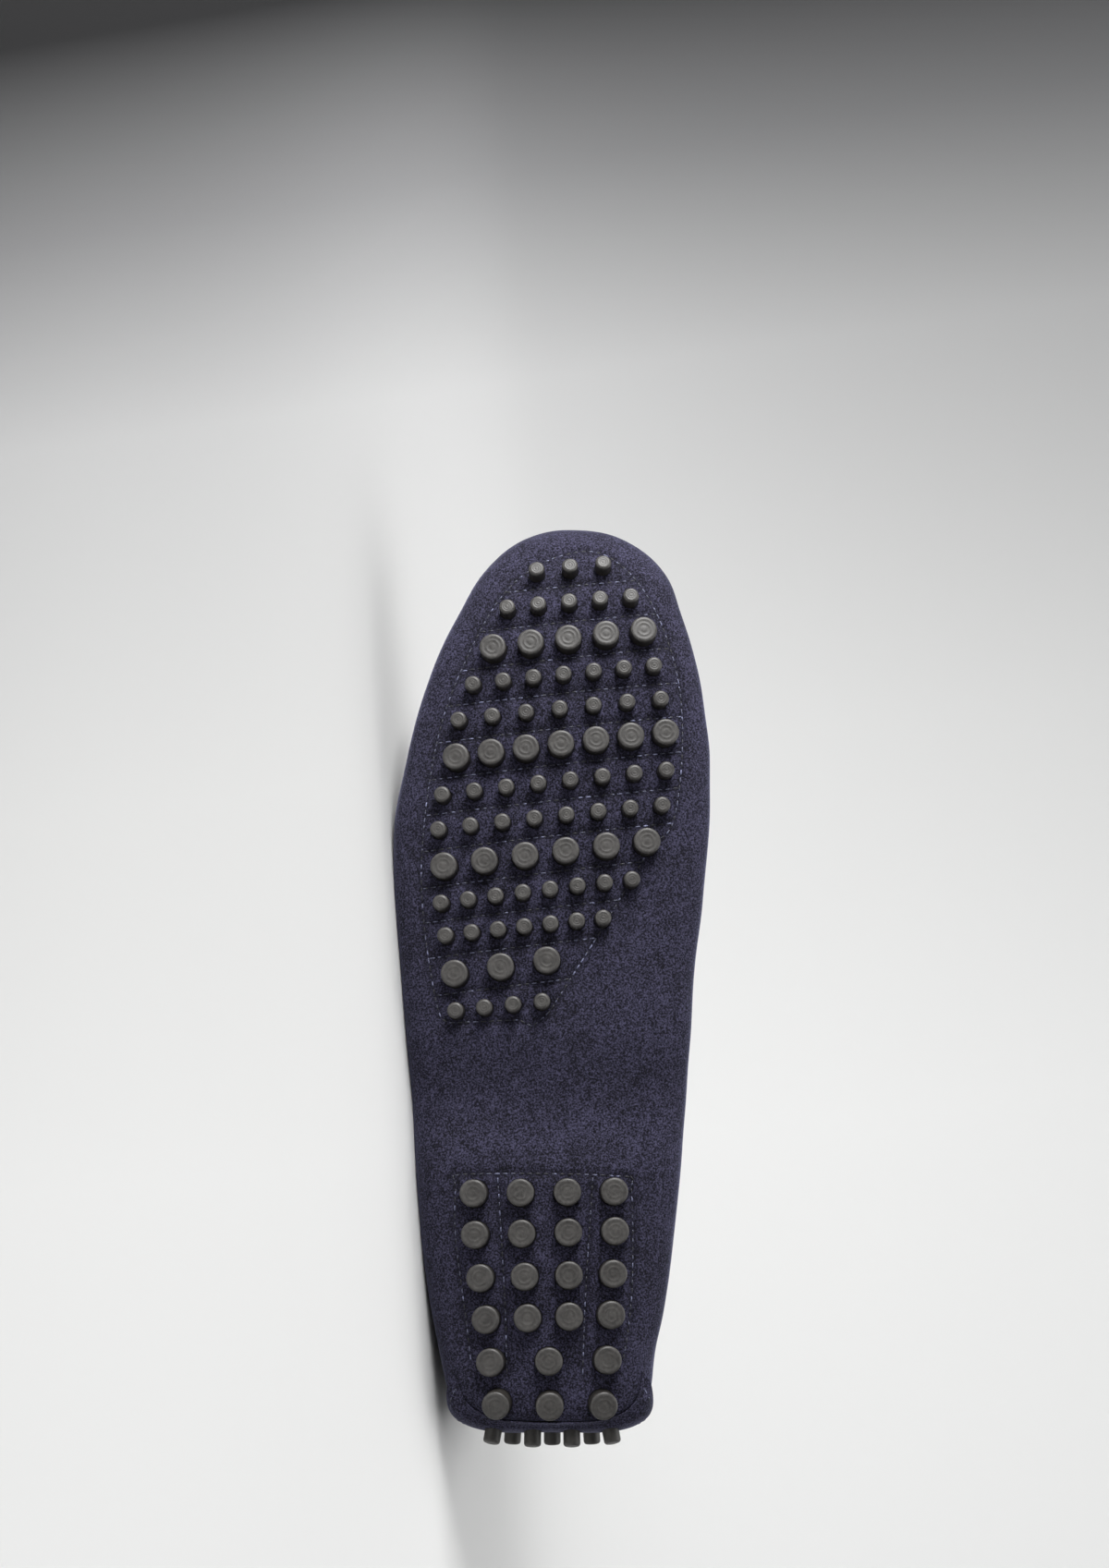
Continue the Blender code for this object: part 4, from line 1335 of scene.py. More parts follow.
@dataclass(frozen=True)
class Bench:
    """What every sub-assembly is made with: the last, its pose and the materials."""

    last: Last
    pose: LyingPose
    suede: bpy.types.Material
    rubber: bpy.types.Material
    thread: bpy.types.Material
    lining: bpy.types.Material

    def lay_piece(self, name: str, shape: Shape, mark: str = "seam") -> bpy.types.Object:
        """Make an object of a shape of the last, laid in the frame.

        Args:
            name: The object's name.
            shape: The shape, in the last's frame.
            mark: Name of the attribute that keeps the shape's marks.

        Returns:
            The object, with its place in its mesh.
        """
        mesh = bpy.data.meshes.new(name)
        mesh.from_pydata(self.pose.lay(shape.points).tolist(), [], shape.faces)
        kept = mesh.attributes.new(mark, "FLOAT", "POINT")
        kept.data.foreach_set("value", shape.mark.astype(np.float32))
        mesh.update()
        obj = bpy.data.objects.new(name, mesh)
        bpy.context.scene.collection.objects.link(obj)
        return obj

    def line(self, obj: bpy.types.Object, first: int, end: Optional[int] = None) -> None:
        """Give a piece suede, and lining on one run of its faces.

        Args:
            obj: The piece.
            first: Number of the first lined face.
            end: Number of the face after the last lined one, if any face follows.
        """
        obj.data.materials.append(self.suede)
        obj.data.materials.append(self.lining)
        for face in obj.data.polygons[first:end]:
            face.material_index = 1

    def hand_over(
        self, obj: bpy.types.Object, material: bpy.types.Material, slot: Slot, *nodes: str
    ) -> bpy.types.Object:
        """Dress a piece, let it ride on the shoe and hide the solids that it stands for.

        Args:
            obj: The piece.
            material: Its material.
            slot: The record's slot for the piece; not used.
            nodes: The solids that it replaces.

        Returns:
            The piece.
        """
        if not obj.data.materials:
            obj.data.materials.append(material)
        make_active(obj)
        bpy.ops.object.shade_smooth_by_angle(angle=SMOOTH_UNDER)
        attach(obj, BODY)
        if nodes:
            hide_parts(*nodes)
        LOG.info("%s: %d faces", obj.name, len(obj.data.polygons))
        return obj


def apply_cut(obj: bpy.types.Object, cutter: bpy.types.Object) -> None:
    """Cut a piece with another and take the cutter out of the scene.

    Args:
        obj: The piece.
        cutter: What is cut away.
    """
    make_active(obj)
    bpy.ops.object.modifier_add(type="BOOLEAN")
    cut = obj.modifiers[-1]
    cut.operation = "DIFFERENCE"
    cut.solver = "EXACT"
    cut.object = cutter
    bpy.ops.object.modifier_apply(modifier=cut.name)
    bpy.data.objects.remove(cutter)


@dataclass(frozen=True)
class PegFeet:
    """Where pegs stand on the shoe."""

    places: Array
    normals: Array
    kinds: list[PegKind]

    @classmethod
    def on_bottom(cls, last: Last, rows: list[dict]) -> "PegFeet":
        """Set out rows on the bottom, measured where the peg tips stand.

        Args:
            last: The last.
            rows: Rows of pegs.

        Returns:
            The pegs' feet.
        """
        plan, kinds = [], []
        for row in rows:
            t = np.linspace(0, 1, row["count"])[:, None]
            plan.append(np.array(row["outer"]) * (1 - t) + np.array(row["inner"]) * t)
            kinds += [PegKind(row["kind"])] * row["count"]
        x, y = np.concatenate(plan).T * np.array([[last.length], [last.ball_half_width]])
        _, normal = last.sole_frame(x, y)
        x, y = x - normal[:, 0] * last.peg_height, y - normal[:, 1] * last.peg_height
        places, normals = last.sole_frame(x, y)
        return cls(places, normals, kinds)

    @classmethod
    def on_tab(cls, last: Last) -> "PegFeet":
        """Set out the rows of small pegs behind the heel.

        Args:
            last: The last.

        Returns:
            The pegs' feet.
        """
        places, normals = [], []
        for row in BACK_ROWS:
            distance = np.linspace(-row["reach"], row["reach"], row["count"])
            level = np.full(len(distance), row["level"])
            here, normal, _ = last.wall_frame(last.turn_at(distance), level)
            places.append(here)
            normals.append(normal)
        places = np.concatenate(places)
        return cls(places, np.concatenate(normals), [PegKind.SMALL] * len(places))

    def tip(self, last: Last, number: int) -> tuple[Array, Array]:
        """Give the middle of a peg's end and the way that it points."""
        return self.places[number] + self.normals[number] * last.peg_height, self.normals[number]


# Insets that step into and out of a peg's end: thickness as a share of its flat, and depth in
# grooves, below zero inwards.
END_RINGS = (
    (0.10, 0.0), (0.04, -1.0), (0.16, 0.0), (0.04, 1.0), (0.06, 0.0), (0.04, -1.2),
    (0.18, 0.0), (0.05, 1.0), (0.04, 0.3),
)


@dataclass(frozen=True)
class Peg:
    """A moulded rubber peg with a rounded rim, fine rings and a small nub in its end."""

    diameter: float
    sides: int
    height: float = 0.0045
    root: float = 0.0026
    rim: float = 0.00074
    groove: float = 0.00004
    ring_spread: float = 1.15

    def shape(self) -> Shape:
        """Model the peg from a cylinder: a bevelled rim, then insets that step in and out.

        Returns:
            The peg, standing on its foot at the origin.
        """
        radius = self.diameter / 2
        obj = start_editing(
            bpy.ops.mesh.primitive_cylinder_add, vertices=self.sides, radius=radius,
            depth=self.height + self.root, location=(0, 0, (self.height - self.root) / 2),
        )
        pick(obj, lambda centre, normal: normal.z > 0.9)
        bpy.ops.mesh.bevel(offset=self.rim, segments=3, affect="EDGES")
        flat = (radius - self.rim) * self.ring_spread
        for thickness, depth in END_RINGS:
            pick(obj, lambda centre, normal: normal.z > 0.9 and centre.xy.length < radius * 0.01)
            bpy.ops.mesh.inset(thickness=thickness * flat, depth=depth * self.groove)
        bpy.ops.object.mode_set(mode="OBJECT")
        return Shape.taken_from(obj, self._lit_end_and_wear)

    def _lit_end_and_wear(self, points: Array) -> Array:
        """Mark the end for painted light against the painted shade of the sides, a little more at
        the rim, which also rubs paler.
        """
        reach = np.hypot(points[:, 0], points[:, 1]) / (self.diameter / 2)
        high = smoothstep(self.height - 1.2 * self.rim, self.height - self.rim * 0.1, points[:, 2])
        return high * (0.90 + 0.10 * smoothstep(0.60, 0.85, reach))


PEGS = {PegKind.LARGE: Peg(0.0085, 36), PegKind.SMALL: Peg(0.0052, 26, rim=0.00090, groove=0.00003)}


def stamp_kinds(feet: PegFeet, model: Callable[[Peg], Shape], axes: Array) -> Shape:
    """Model something for each size of peg and copy it to the feet of that size.

    Args:
        feet: Where the pegs stand.
        model: Gives the shape that a peg's feet receive.
        axes: Three axes for each foot.

    Returns:
        All the copies as one shape.
    """
    parts = []
    for kind, peg in PEGS.items():
        chosen = np.array([k is kind for k in feet.kinds])
        if chosen.any():
            parts.append(model(peg).stamped(feet.places[chosen], axes[chosen]))
    return parts[0].joined(*parts[1:])


def stand_pegs(feet: PegFeet) -> Shape:
    """Copy the modelled pegs to their feet, each turned its own way."""
    turned = unit(np.random.default_rng(3).normal(size=feet.places.shape))
    return stamp_kinds(feet, Peg.shape, axes_from(feet.normals, turned))


def peg_cutter(bench: Bench, feet: PegFeet, depth: float, clearance: float) -> bpy.types.Object:
    """Make what cuts the pegs' holes.

    Args:
        bench: The bench.
        feet: Where the pegs stand.
        depth: How far the holes reach under and over the surface.
        clearance: What the holes are wider than the pegs, all round.

    Returns:
        The cutter.
    """
    def hole(peg: Peg) -> Shape:
        """Model one hole."""
        radius = peg.diameter / 2 + clearance
        add = bpy.ops.mesh.primitive_cylinder_add
        obj = start_editing(add, vertices=24, radius=radius, depth=2 * depth)
        bpy.ops.object.mode_set(mode="OBJECT")
        return Shape.taken_from(obj)

    axes = axes_from(feet.normals, np.broadcast_to([1.0, 0.0, 0.0], feet.normals.shape))
    return bench.lay_piece("peg_hole_cutter", stamp_kinds(feet, hole, axes))


def plan_tree(plan: Array) -> KDTree:
    """Sort plan places so that the nearest one is found quickly."""
    tree = KDTree(len(plan))
    for i, place in enumerate(plan):
        tree.insert((place[0], place[1], 0.0), i)
    tree.balance()
    return tree


@dataclass
class SoleSeams:
    """The seams sewn through the bottom round and between the pegs."""

    last: Last
    pitch: float = 0.0025
    dot_pitch: float = 0.0006
    lines: list[Array] = field(default_factory=list)

    def __post_init__(self) -> None:
        """Draw every seam as a path over the plan."""
        size = np.array([self.last.length, self.last.ball_half_width])
        edge = smooth_path(FOREFOOT_EDGE_SEAM, 10) * size
        end = smooth_path(FOREFOOT_END_SEAM, 2) * size
        outline = np.concatenate([edge, end])
        self.fields = [outline, smooth_path(HEEL_EDGE_SEAM, 10) * size]
        self.lines = [edge, end, self.fields[1]]
        self.lines += [smooth_path(seam, 8) * size for seam in HEEL_INNER_SEAMS]
        for lower, upper in zip(FOREFOOT_ROWS, FOREFOOT_ROWS[1:]):
            outer = (np.array(lower["outer"]) + np.array(upper["outer"])) / 2 * size
            inner = (np.array(lower["inner"]) + np.array(upper["inner"])) / 2 * size
            self.lines.append(self._crossing(outline, outer, inner))

    @staticmethod
    def _crossing(outline: Array, outer: Array, inner: Array) -> Array:
        """Lengthen a line between two rows of pegs to the seam round them.

        Args:
            outline: Points of the seam round the pegs.
            outer: A place on the line near its outer end.
            inner: A place on the line near its inner end.

        Returns:
            The two ends of the line.
        """
        way = inner - outer
        side = (outline[:, 0] - outer[0]) * way[1] - (outline[:, 1] - outer[1]) * way[0]
        crossed = np.nonzero(side[:-1] * side[1:] < 0)[0]
        share = side[crossed] / (side[crossed] - side[crossed + 1])
        hits = outline[crossed] + (outline[crossed + 1] - outline[crossed]) * share[:, None]
        reach = (hits - outer) @ way / (way @ way)
        before = np.argmin(np.where(reach < 0.5, -reach, np.inf))
        after = np.argmin(np.where(reach > 0.5, reach, np.inf))
        return np.array([hits[before], hits[after]])

    def stitch_marks(self) -> tuple[Array, Array]:
        """Give the middle of each stitch and the way that it runs, over the plan.

        Returns:
            Places and directions.
        """
        middles, ways = [], []
        for line in self.lines:
            marks = spaced(line, self.pitch)
            middles.append((marks[1:] + marks[:-1]) / 2)
            ways.append(unit(np.diff(marks, axis=0)))
        return np.concatenate(middles), np.concatenate(ways)

    def distances(self, plan: Array) -> Array:
        """Give the distance from plan places to the nearest seam.

        Args:
            plan: Places.

        Returns:
            Distances in metres.
        """
        tree = plan_tree(np.concatenate([spaced(line, self.dot_pitch) for line in self.lines]))
        return np.array([tree.find((x, y, 0.0))[2] for x, y in plan])

    def inside(self, plan: Array) -> Array:
        """Say which plan places lie inside a sewn field.

        Args:
            plan: Places.

        Returns:
            1 inside and 0 outside.
        """
        found = np.zeros(len(plan), bool)
        for outline in self.fields:
            x0, y0 = outline.T
            x1, y1 = np.roll(outline, -1, axis=0).T
            for a, b, c, d in zip(x0, y0, x1, y1):
                if b != d:
                    spans = (b > plan[:, 1]) != (d > plan[:, 1])
                    found ^= spans & (plan[:, 0] < (c - a) * (plan[:, 1] - b) / (d - b) + a)
        return found.astype(float)


@dataclass
class SuedeWrap:
    """The one piece of suede that makes the bottom and the walls, gathered at the toe."""

    bench: Bench
    seams: SoleSeams
    feet: PegFeet
    around: int = 720
    across: int = 88
    coarser: int = 4
    wall_rings: int = 35
    edge_rings: int = 21
    lip_rings: int = 7
    trough: float = 0.00042
    trough_width: float = 0.00110
    puff: float = 0.00035
    puff_width: float = 0.0038
    pucker: float = 0.0011
    pucker_pitch: float = 0.0058
    pucker_from: float = 0.35
    pucker_sunk: float = 0.35
    pucker_before: float = 0.01
    pucker_after: float = 0.09
    lip_follows: float = 0.25
    inside_rim: float = 0.94
    dimple: float = 0.00028
    dimple_width: float = 0.0009
    unevenness: float = 0.00022
    hole_clearance: float = 0.00022
    cut_through: float = 2.4

    def build(self) -> bpy.types.Object:
        """Build the outside finely, close it with its inside and cut the pegs' holes.

        Returns:
            The wrap, suede outside and lining inside.
        """
        last = self.bench.last
        turns, _ = last.stations(self.around, BEND)
        levels = np.concatenate([
            np.linspace(1, 0, self.wall_rings), np.linspace(0, -1, self.edge_rings)[1:],
        ])
        outside, normals = last.wrap_frame(turns[None], levels[:, None])
        outside = outside + normals * self._relief(outside, turns, levels)[..., None]
        lip = self._lip(turns)
        fine = np.concatenate([lip, outside])
        inside = self._inside(turns[:: self.coarser])
        index = numbered(fine)
        count = index.size
        points, faces = [fine.reshape(-1, 3)], grid_faces(closed_rows(index), turned=True)

        under, under_faces, under_shade_marks = self._bottom(outside[-1], index[-1], count, relief=True)
        points.append(under)
        faces += under_faces
        count += len(under)
        outer_faces = len(faces)

        inner = numbered(inside, count)
        points.append(inside.reshape(-1, 3))
        faces += grid_faces(closed_rows(inner))
        faces += self._step(inner[0], index[0])
        count += inner.size
        floor, floor_faces, _ = self._bottom(inside[-1], inner[-1], count, relief=False)
        points.append(floor)
        faces += [list(reversed(face)) for face in floor_faces]

        # The seam marks paint shade along the seams of the edge and of the bottom.
        marks = np.zeros(sum(len(part) for part in points))
        edge = outside[self.wall_rings - 1:].reshape(-1, 3)
        start = (len(lip) + self.wall_rings - 1) * self.around
        marks[start: start + len(edge)] = self._seam_shade_mark(edge[:, :2])
        marks[len(points[0]): len(points[0]) + len(under)] = under_shade_marks
        obj = self.bench.lay_piece("moccasin_wrap", Shape(np.concatenate(points), faces, marks))
        self.bench.line(obj, outer_faces)
        depth = self.cut_through * last.suede
        apply_cut(obj, peg_cutter(self.bench, self.feet, depth, self.hole_clearance))
        return obj

    def dress(self, obj: bpy.types.Object) -> None:
        """Hand the wrap over."""
        self.bench.hand_over(obj, self.bench.suede, Slot.SUEDE, "suede_wrap")

    def _seam_shade_mark(self, plan: Array) -> Array:
        """Mark places beside a seam, where painted shade darkens the suede along the trough."""
        return np.exp(-((self.seams.distances(plan) / self.trough_width) ** 2))

    def sole_relief(self, plan: Array) -> Array:
        """Give the height of the quilted bottom over its plain form.

        Args:
            plan: Plan places.

        Returns:
            Heights, below zero in the seams and round the pegs.
        """
        distance = self.seams.distances(plan)
        relief = -self.trough * np.exp(-((distance / self.trough_width) ** 2))
        relief += self.puff * self.seams.inside(plan) * smoothstep(0.0, self.puff_width, distance)
        pegs = plan_tree(self.feet.places)
        for k, (x, y) in enumerate(plan):
            _, number, away = pegs.find((x, y, 0.0))
            beyond = abs(away - PEGS[self.feet.kinds[number]].diameter / 2)
            relief[k] -= self.dimple * math.exp(-((beyond / self.dimple_width) ** 2))
        return relief

    def _relief(self, points: Array, turns: Array, levels: Array) -> Array:
        """Give the height of seams, gathers and unevenness over the plain wall.

        Args:
            points: Places of the rings.
            turns: Turn of each station.
            levels: Level of each ring.

        Returns:
            Heights along the wall's normal.
        """
        relief = self.unevenness * ripple(points.reshape(-1, 3)).reshape(points.shape[:2])
        edge = self.wall_rings - 1
        plan = points[edge:, :, :2].reshape(-1, 2)
        relief[edge:] += self.sole_relief(plan).reshape(points[edge:].shape[:2])
        gather = self._gather(turns)[None] * smoothstep(self.pucker_from, 1.0, levels)[:, None]
        return relief + gather

    def _gather(self, turns: Array) -> Array:
        """Give the height of the gathers beside the toe seam, between its stitches.

        Args:
            turns: Turn of each station.

        Returns:
            Heights at the rim.
        """
        last = self.bench.last
        here, _, _ = last.rim_frame(turns)
        steps = np.linalg.norm(np.roll(here, -1, axis=0) - here, axis=1)
        toe = len(turns) // 2
        along = np.cumsum(steps) - np.cumsum(steps)[toe]
        share = share_at(turns)
        throat = last.throat_at
        front = smoothstep(throat - self.pucker_before, throat + self.pucker_after, share)
        waves = np.sin(np.pi * along / self.pucker_pitch) ** 2
        return self.pucker * front * (waves - self.pucker_sunk)

    def _lip(self, turns: Array) -> Array:
        """Round the raised edge over.

        Args:
            turns: Turn of each station.

        Returns:
            Rings from the inner side of the lip to its outer side.
        """
        last = self.bench.last
        here, lip, out = last.rim_frame(turns)
        radius = last.suede / 2
        middle = here + lip * (last.seam_lip - radius) - out * radius
        middle = middle + out * (self._gather(turns) * self.lip_follows)[:, None]
        return half_round(middle, out * radius, lip * radius, self.lip_rings)

    def _inside(self, turns: Array) -> Array:
        """Give the inside of the wall.

        Args:
            turns: Turn of each station, fewer than outside.

        Returns:
            Rings from the lip down to the feather line.
        """
        last = self.bench.last
        here, lip, out = last.rim_frame(turns)
        corner = here - (out + lip * last.seam_share(turns)[:, None]) * last.suede
        down, under = np.linspace(self.inside_rim, 0.0, 10), np.linspace(0.0, -1.0, 8)
        levels = np.concatenate([down, under[1:]])
        places, normals = last.wrap_frame(turns[None], levels[:, None])
        return np.concatenate([corner[None], places - normals * last.suede])

    def _step(self, coarse: Array, fine: Array) -> list[list[int]]:
        """Join a ring of few points to a ring of many.

        Args:
            coarse: Point numbers of the ring inside the lip.
            fine: Point numbers of the lip's first ring.

        Returns:
            Faces with one long side and several short ones.
        """
        faces = []
        for i in range(len(coarse)):
            side = [fine[(i * self.coarser + k) % len(fine)] for k in range(self.coarser, -1, -1)]
            faces.append([int(n) for n in (coarse[i], coarse[(i + 1) % len(coarse)], *side)])
        return faces

    def _bottom(
        self, ring: Array, numbers: Array, start: int, relief: bool
    ) -> tuple[Array, list[list[int]], Array]:
        """Fill the feather ring with a grid.

        Args:
            ring: Points of the ring.
            numbers: Their numbers.
            start: Number of the first new point.
            relief: Whether this is the quilted outside.

        Returns:
            New points, the faces, and the marks of painted seam shade at the new points.
        """
        last = self.bench.last
        grid, index = fill_ring(ring, numbers, self.across * len(ring) // self.around, start)
        inner = grid[1:-1, 1:-1].reshape(-1, 3)
        inner[:, 2] = last.bottom_height(inner[:, 0], inner[:, 1])
        marks = np.zeros(len(inner))
        if relief:
            plan = inner[:, :2]
            marks = self._seam_shade_mark(plan)
            inner[:, 2] -= self.sole_relief(plan) + self.unevenness * ripple(inner)
        else:
            inner[:, 2] += last.suede
        return inner, grid_faces(index), marks


def fill_ring(
    ring: Array, numbers: Array, across: int, start: int, relax: int = 400
) -> tuple[Array, Array]:
    """Fill a ring of points round the last with a grid.

    Args:
        ring: Points of the ring, from the heel round by the inner side.
        numbers: Their numbers.
        across: Spans of the grid across the shoe.
        start: Number of the first new point.
        relax: How many times each point is drawn to the middle of its neighbours.

    Returns:
        The grid's points in rows from heel to toe, and their numbers.
    """
    count, half = len(ring), across // 2
    side = count // 2 - across
    heel = np.arange(half, -half - 1, -1) % count
    toe = np.arange(count // 2 - half, count // 2 + half + 1)
    inner = half + np.arange(side + 1)
    outer = count - half - np.arange(side + 1)
    grid = coons(ring[heel], ring[toe], ring[inner], ring[outer])
    for _ in range(relax):
        neighbours = grid[:-2, 1:-1] + grid[2:, 1:-1] + grid[1:-1, :-2] + grid[1:-1, 2:]
        grid[1:-1, 1:-1] = neighbours / 4
    index = np.empty(grid.shape[:2], int)
    index[0], index[-1] = numbers[heel], numbers[toe]
    index[:, 0], index[:, -1] = numbers[inner], numbers[outer]
    index[1:-1, 1:-1] = start + np.arange((side - 1) * (across - 1)).reshape(side - 1, across - 1)
    return grid, index


@dataclass
class Apron:
    """The plug over the instep, with the turned-up edge that the wrap is gathered to."""

    bench: Bench
    around: int = 720
    across: int = 72
    crown: float = 0.0120
    toe_crown: float = 0.0035
    throat_set_back: float = 0.0100
    lip_rings: int = 7
    unevenness: float = 0.00018

    def build(self) -> bpy.types.Object:
        """Build the crowned sheet, its lip on three sides and its underside.

        Returns:
            The apron.
        """
        last = self.bench.last
        top, frames = self.sheet()
        rows, columns = top.shape[0] - 1, top.shape[1] - 1
        here, lip, out = frames
        radius = last.suede / 2
        middle = here + lip * (last.seam_lip - radius) - out * (3 * radius + last.seam_gap)
        lips = half_round(middle, out * radius, lip * radius, self.lip_rings)
        foot = here - out * (last.suede + last.seam_gap) - lip * last.suede
        normals = grid_normals(top)
        under = top - normals * last.suede
        border = self._border(rows, columns)
        under[border[:, 0], border[:, 1]] = foot

        sheet = numbered(top)
        low = sheet + sheet.size
        rings = numbered(lips, 2 * sheet.size)
        ends = border[:, 0], border[:, 1]
        edge = np.vstack([sheet[ends], rings, low[ends]])
        faces = grid_faces(sheet, turned=True) + grid_faces(low) + grid_faces(edge, turned=True)
        faces += grid_faces(np.stack([sheet[0], low[0]]))
        faces.append(edge[:, 0].tolist())
        faces.append(edge[::-1, -1].tolist())
        points = np.concatenate([grid.reshape(-1, 3) for grid in (top, under, lips)])
        obj = self.bench.lay_piece("apron_plug", Shape.plain(points, faces))
        self.bench.line(obj, rows * columns, 2 * rows * columns)
        return obj

    def dress(self, obj: bpy.types.Object) -> None:
        """Hand the apron over."""
        self.bench.hand_over(obj, self.bench.suede, Slot.SUEDE, "apron")

    def sheet(self) -> tuple[Array, tuple[Array, Array, Array]]:
        """Give the top of the apron.

        Returns:
            Points in rows from the throat to the toe, and the rim's frames along its border.
        """
        last = self.bench.last
        turns, behind = last.stations(self.around, BEND)
        frames = last.rim_frame(turns[behind: self.around - behind + 1])
        edge = frames[0] - frames[2] * (2 * last.suede + last.seam_gap)
        rows = (len(edge) - 1 - self.across) // 2
        inner, toe = edge[: rows + 1], edge[rows: len(edge) - rows]
        outer = edge[len(edge) - rows - 1:][::-1]
        t = np.linspace(0, 1, self.across + 1)[:, None]
        grid = coons(inner[0] * (1 - t) + outer[0] * t, toe, inner, outer)
        s = np.linspace(0, 1, rows + 1)[:, None]
        middle = 1 - (2 * t[:, 0] - 1) ** 2
        share = np.clip((grid[..., 0] / last.length - last.throat_at) / (1 - last.throat_at), 0, 1)
        crown = self.crown + (self.toe_crown - self.crown) * share
        fade = 1 - s**6
        grid[..., 2] += crown * middle[None] ** 0.8 * fade
        waves = ripple(grid.reshape(-1, 3)).reshape(grid.shape[:2])
        grid[..., 2] += self.unevenness * waves * (middle[None] * fade)
        grid[..., 0] -= self.throat_set_back * middle[None] * (1 - s) ** 4
        return grid, frames

    @staticmethod
    def _border(rows: int, columns: int) -> Array:
        """Give the rows and columns of the border, from the throat round the toe and back."""
        side = [(j, 0) for j in range(rows + 1)]
        side += [(rows, i) for i in range(1, columns + 1)]
        return np.array(side + [(j, columns) for j in range(rows - 1, -1, -1)])


@dataclass
class CollarBinding:
    """The narrow suede strip that is folded over the topline."""

    bench: Bench
    around: int = 480
    gap: float = 0.0003
    thickness: float = 0.0009
    depth: float = 0.0022
    end_share: float = 0.9
    roof_points: int = 9
    swell: float = 0.00007

    def build(self) -> bpy.types.Object:
        """Sweep the folded profile along the topline from one end of the throat to the other.

        Returns:
            The binding.
        """
        last = self.bench.last
        turns, behind = last.stations(self.around, BEND)
        path = np.concatenate([turns[self.around - behind:] - 1, turns[: behind + 1]])
        ends = path[0] + (path[1] - path[0]) * self.end_share
        path = np.concatenate([[ends], path[1:-1], [-ends]])
        here, lip, out = last.rim_frame(path)
        top = here + lip * last.seam_lip
        profile = self._profile()
        rings = top[:, None] + out[:, None] * profile[None, :, :1]
        rings = rings + lip[:, None] * profile[None, :, 1:]
        swell = ripple(rings.reshape(-1, 3), shortest=0.005, longest=0.02).reshape(rings.shape[:2])
        rings = rings + out[:, None] * (self.swell * swell)[..., None]
        index = numbered(rings)
        faces = grid_faces(closed_rows(index), turned=True)
        faces += [index[0][::-1].tolist(), index[-1].tolist()]
        return self.bench.lay_piece("topline_binding", Shape.plain(rings.reshape(-1, 3), faces))

    def dress(self, obj: bpy.types.Object) -> None:
        """Hand the binding over."""
        self.bench.hand_over(obj, self.bench.suede, Slot.SUEDE, "collar_binding")

    def _profile(self) -> Array:
        """Give the folded strip's section: out from the lip, and up along it.

        Returns:
            Points round the section.
        """
        suede = self.bench.last.suede
        outer, inner = self.gap + self.thickness, -suede - self.gap - self.thickness
        soft, foot = self.thickness * 0.35, -self.depth
        angles = np.linspace(0, math.pi, self.roof_points)
        half, middle = (outer - inner) / 2, (outer + inner) / 2
        roof = [(middle + half * math.cos(a), outer * math.sin(a) ** 0.7) for a in angles]
        return np.array([
            (self.gap, foot), (outer - soft, foot), (outer, foot + soft), *roof,
            (inner, foot + soft), (inner + soft, foot), (inner + self.thickness, foot),
            (inner + self.thickness, self.gap), (self.gap, self.gap),
        ])


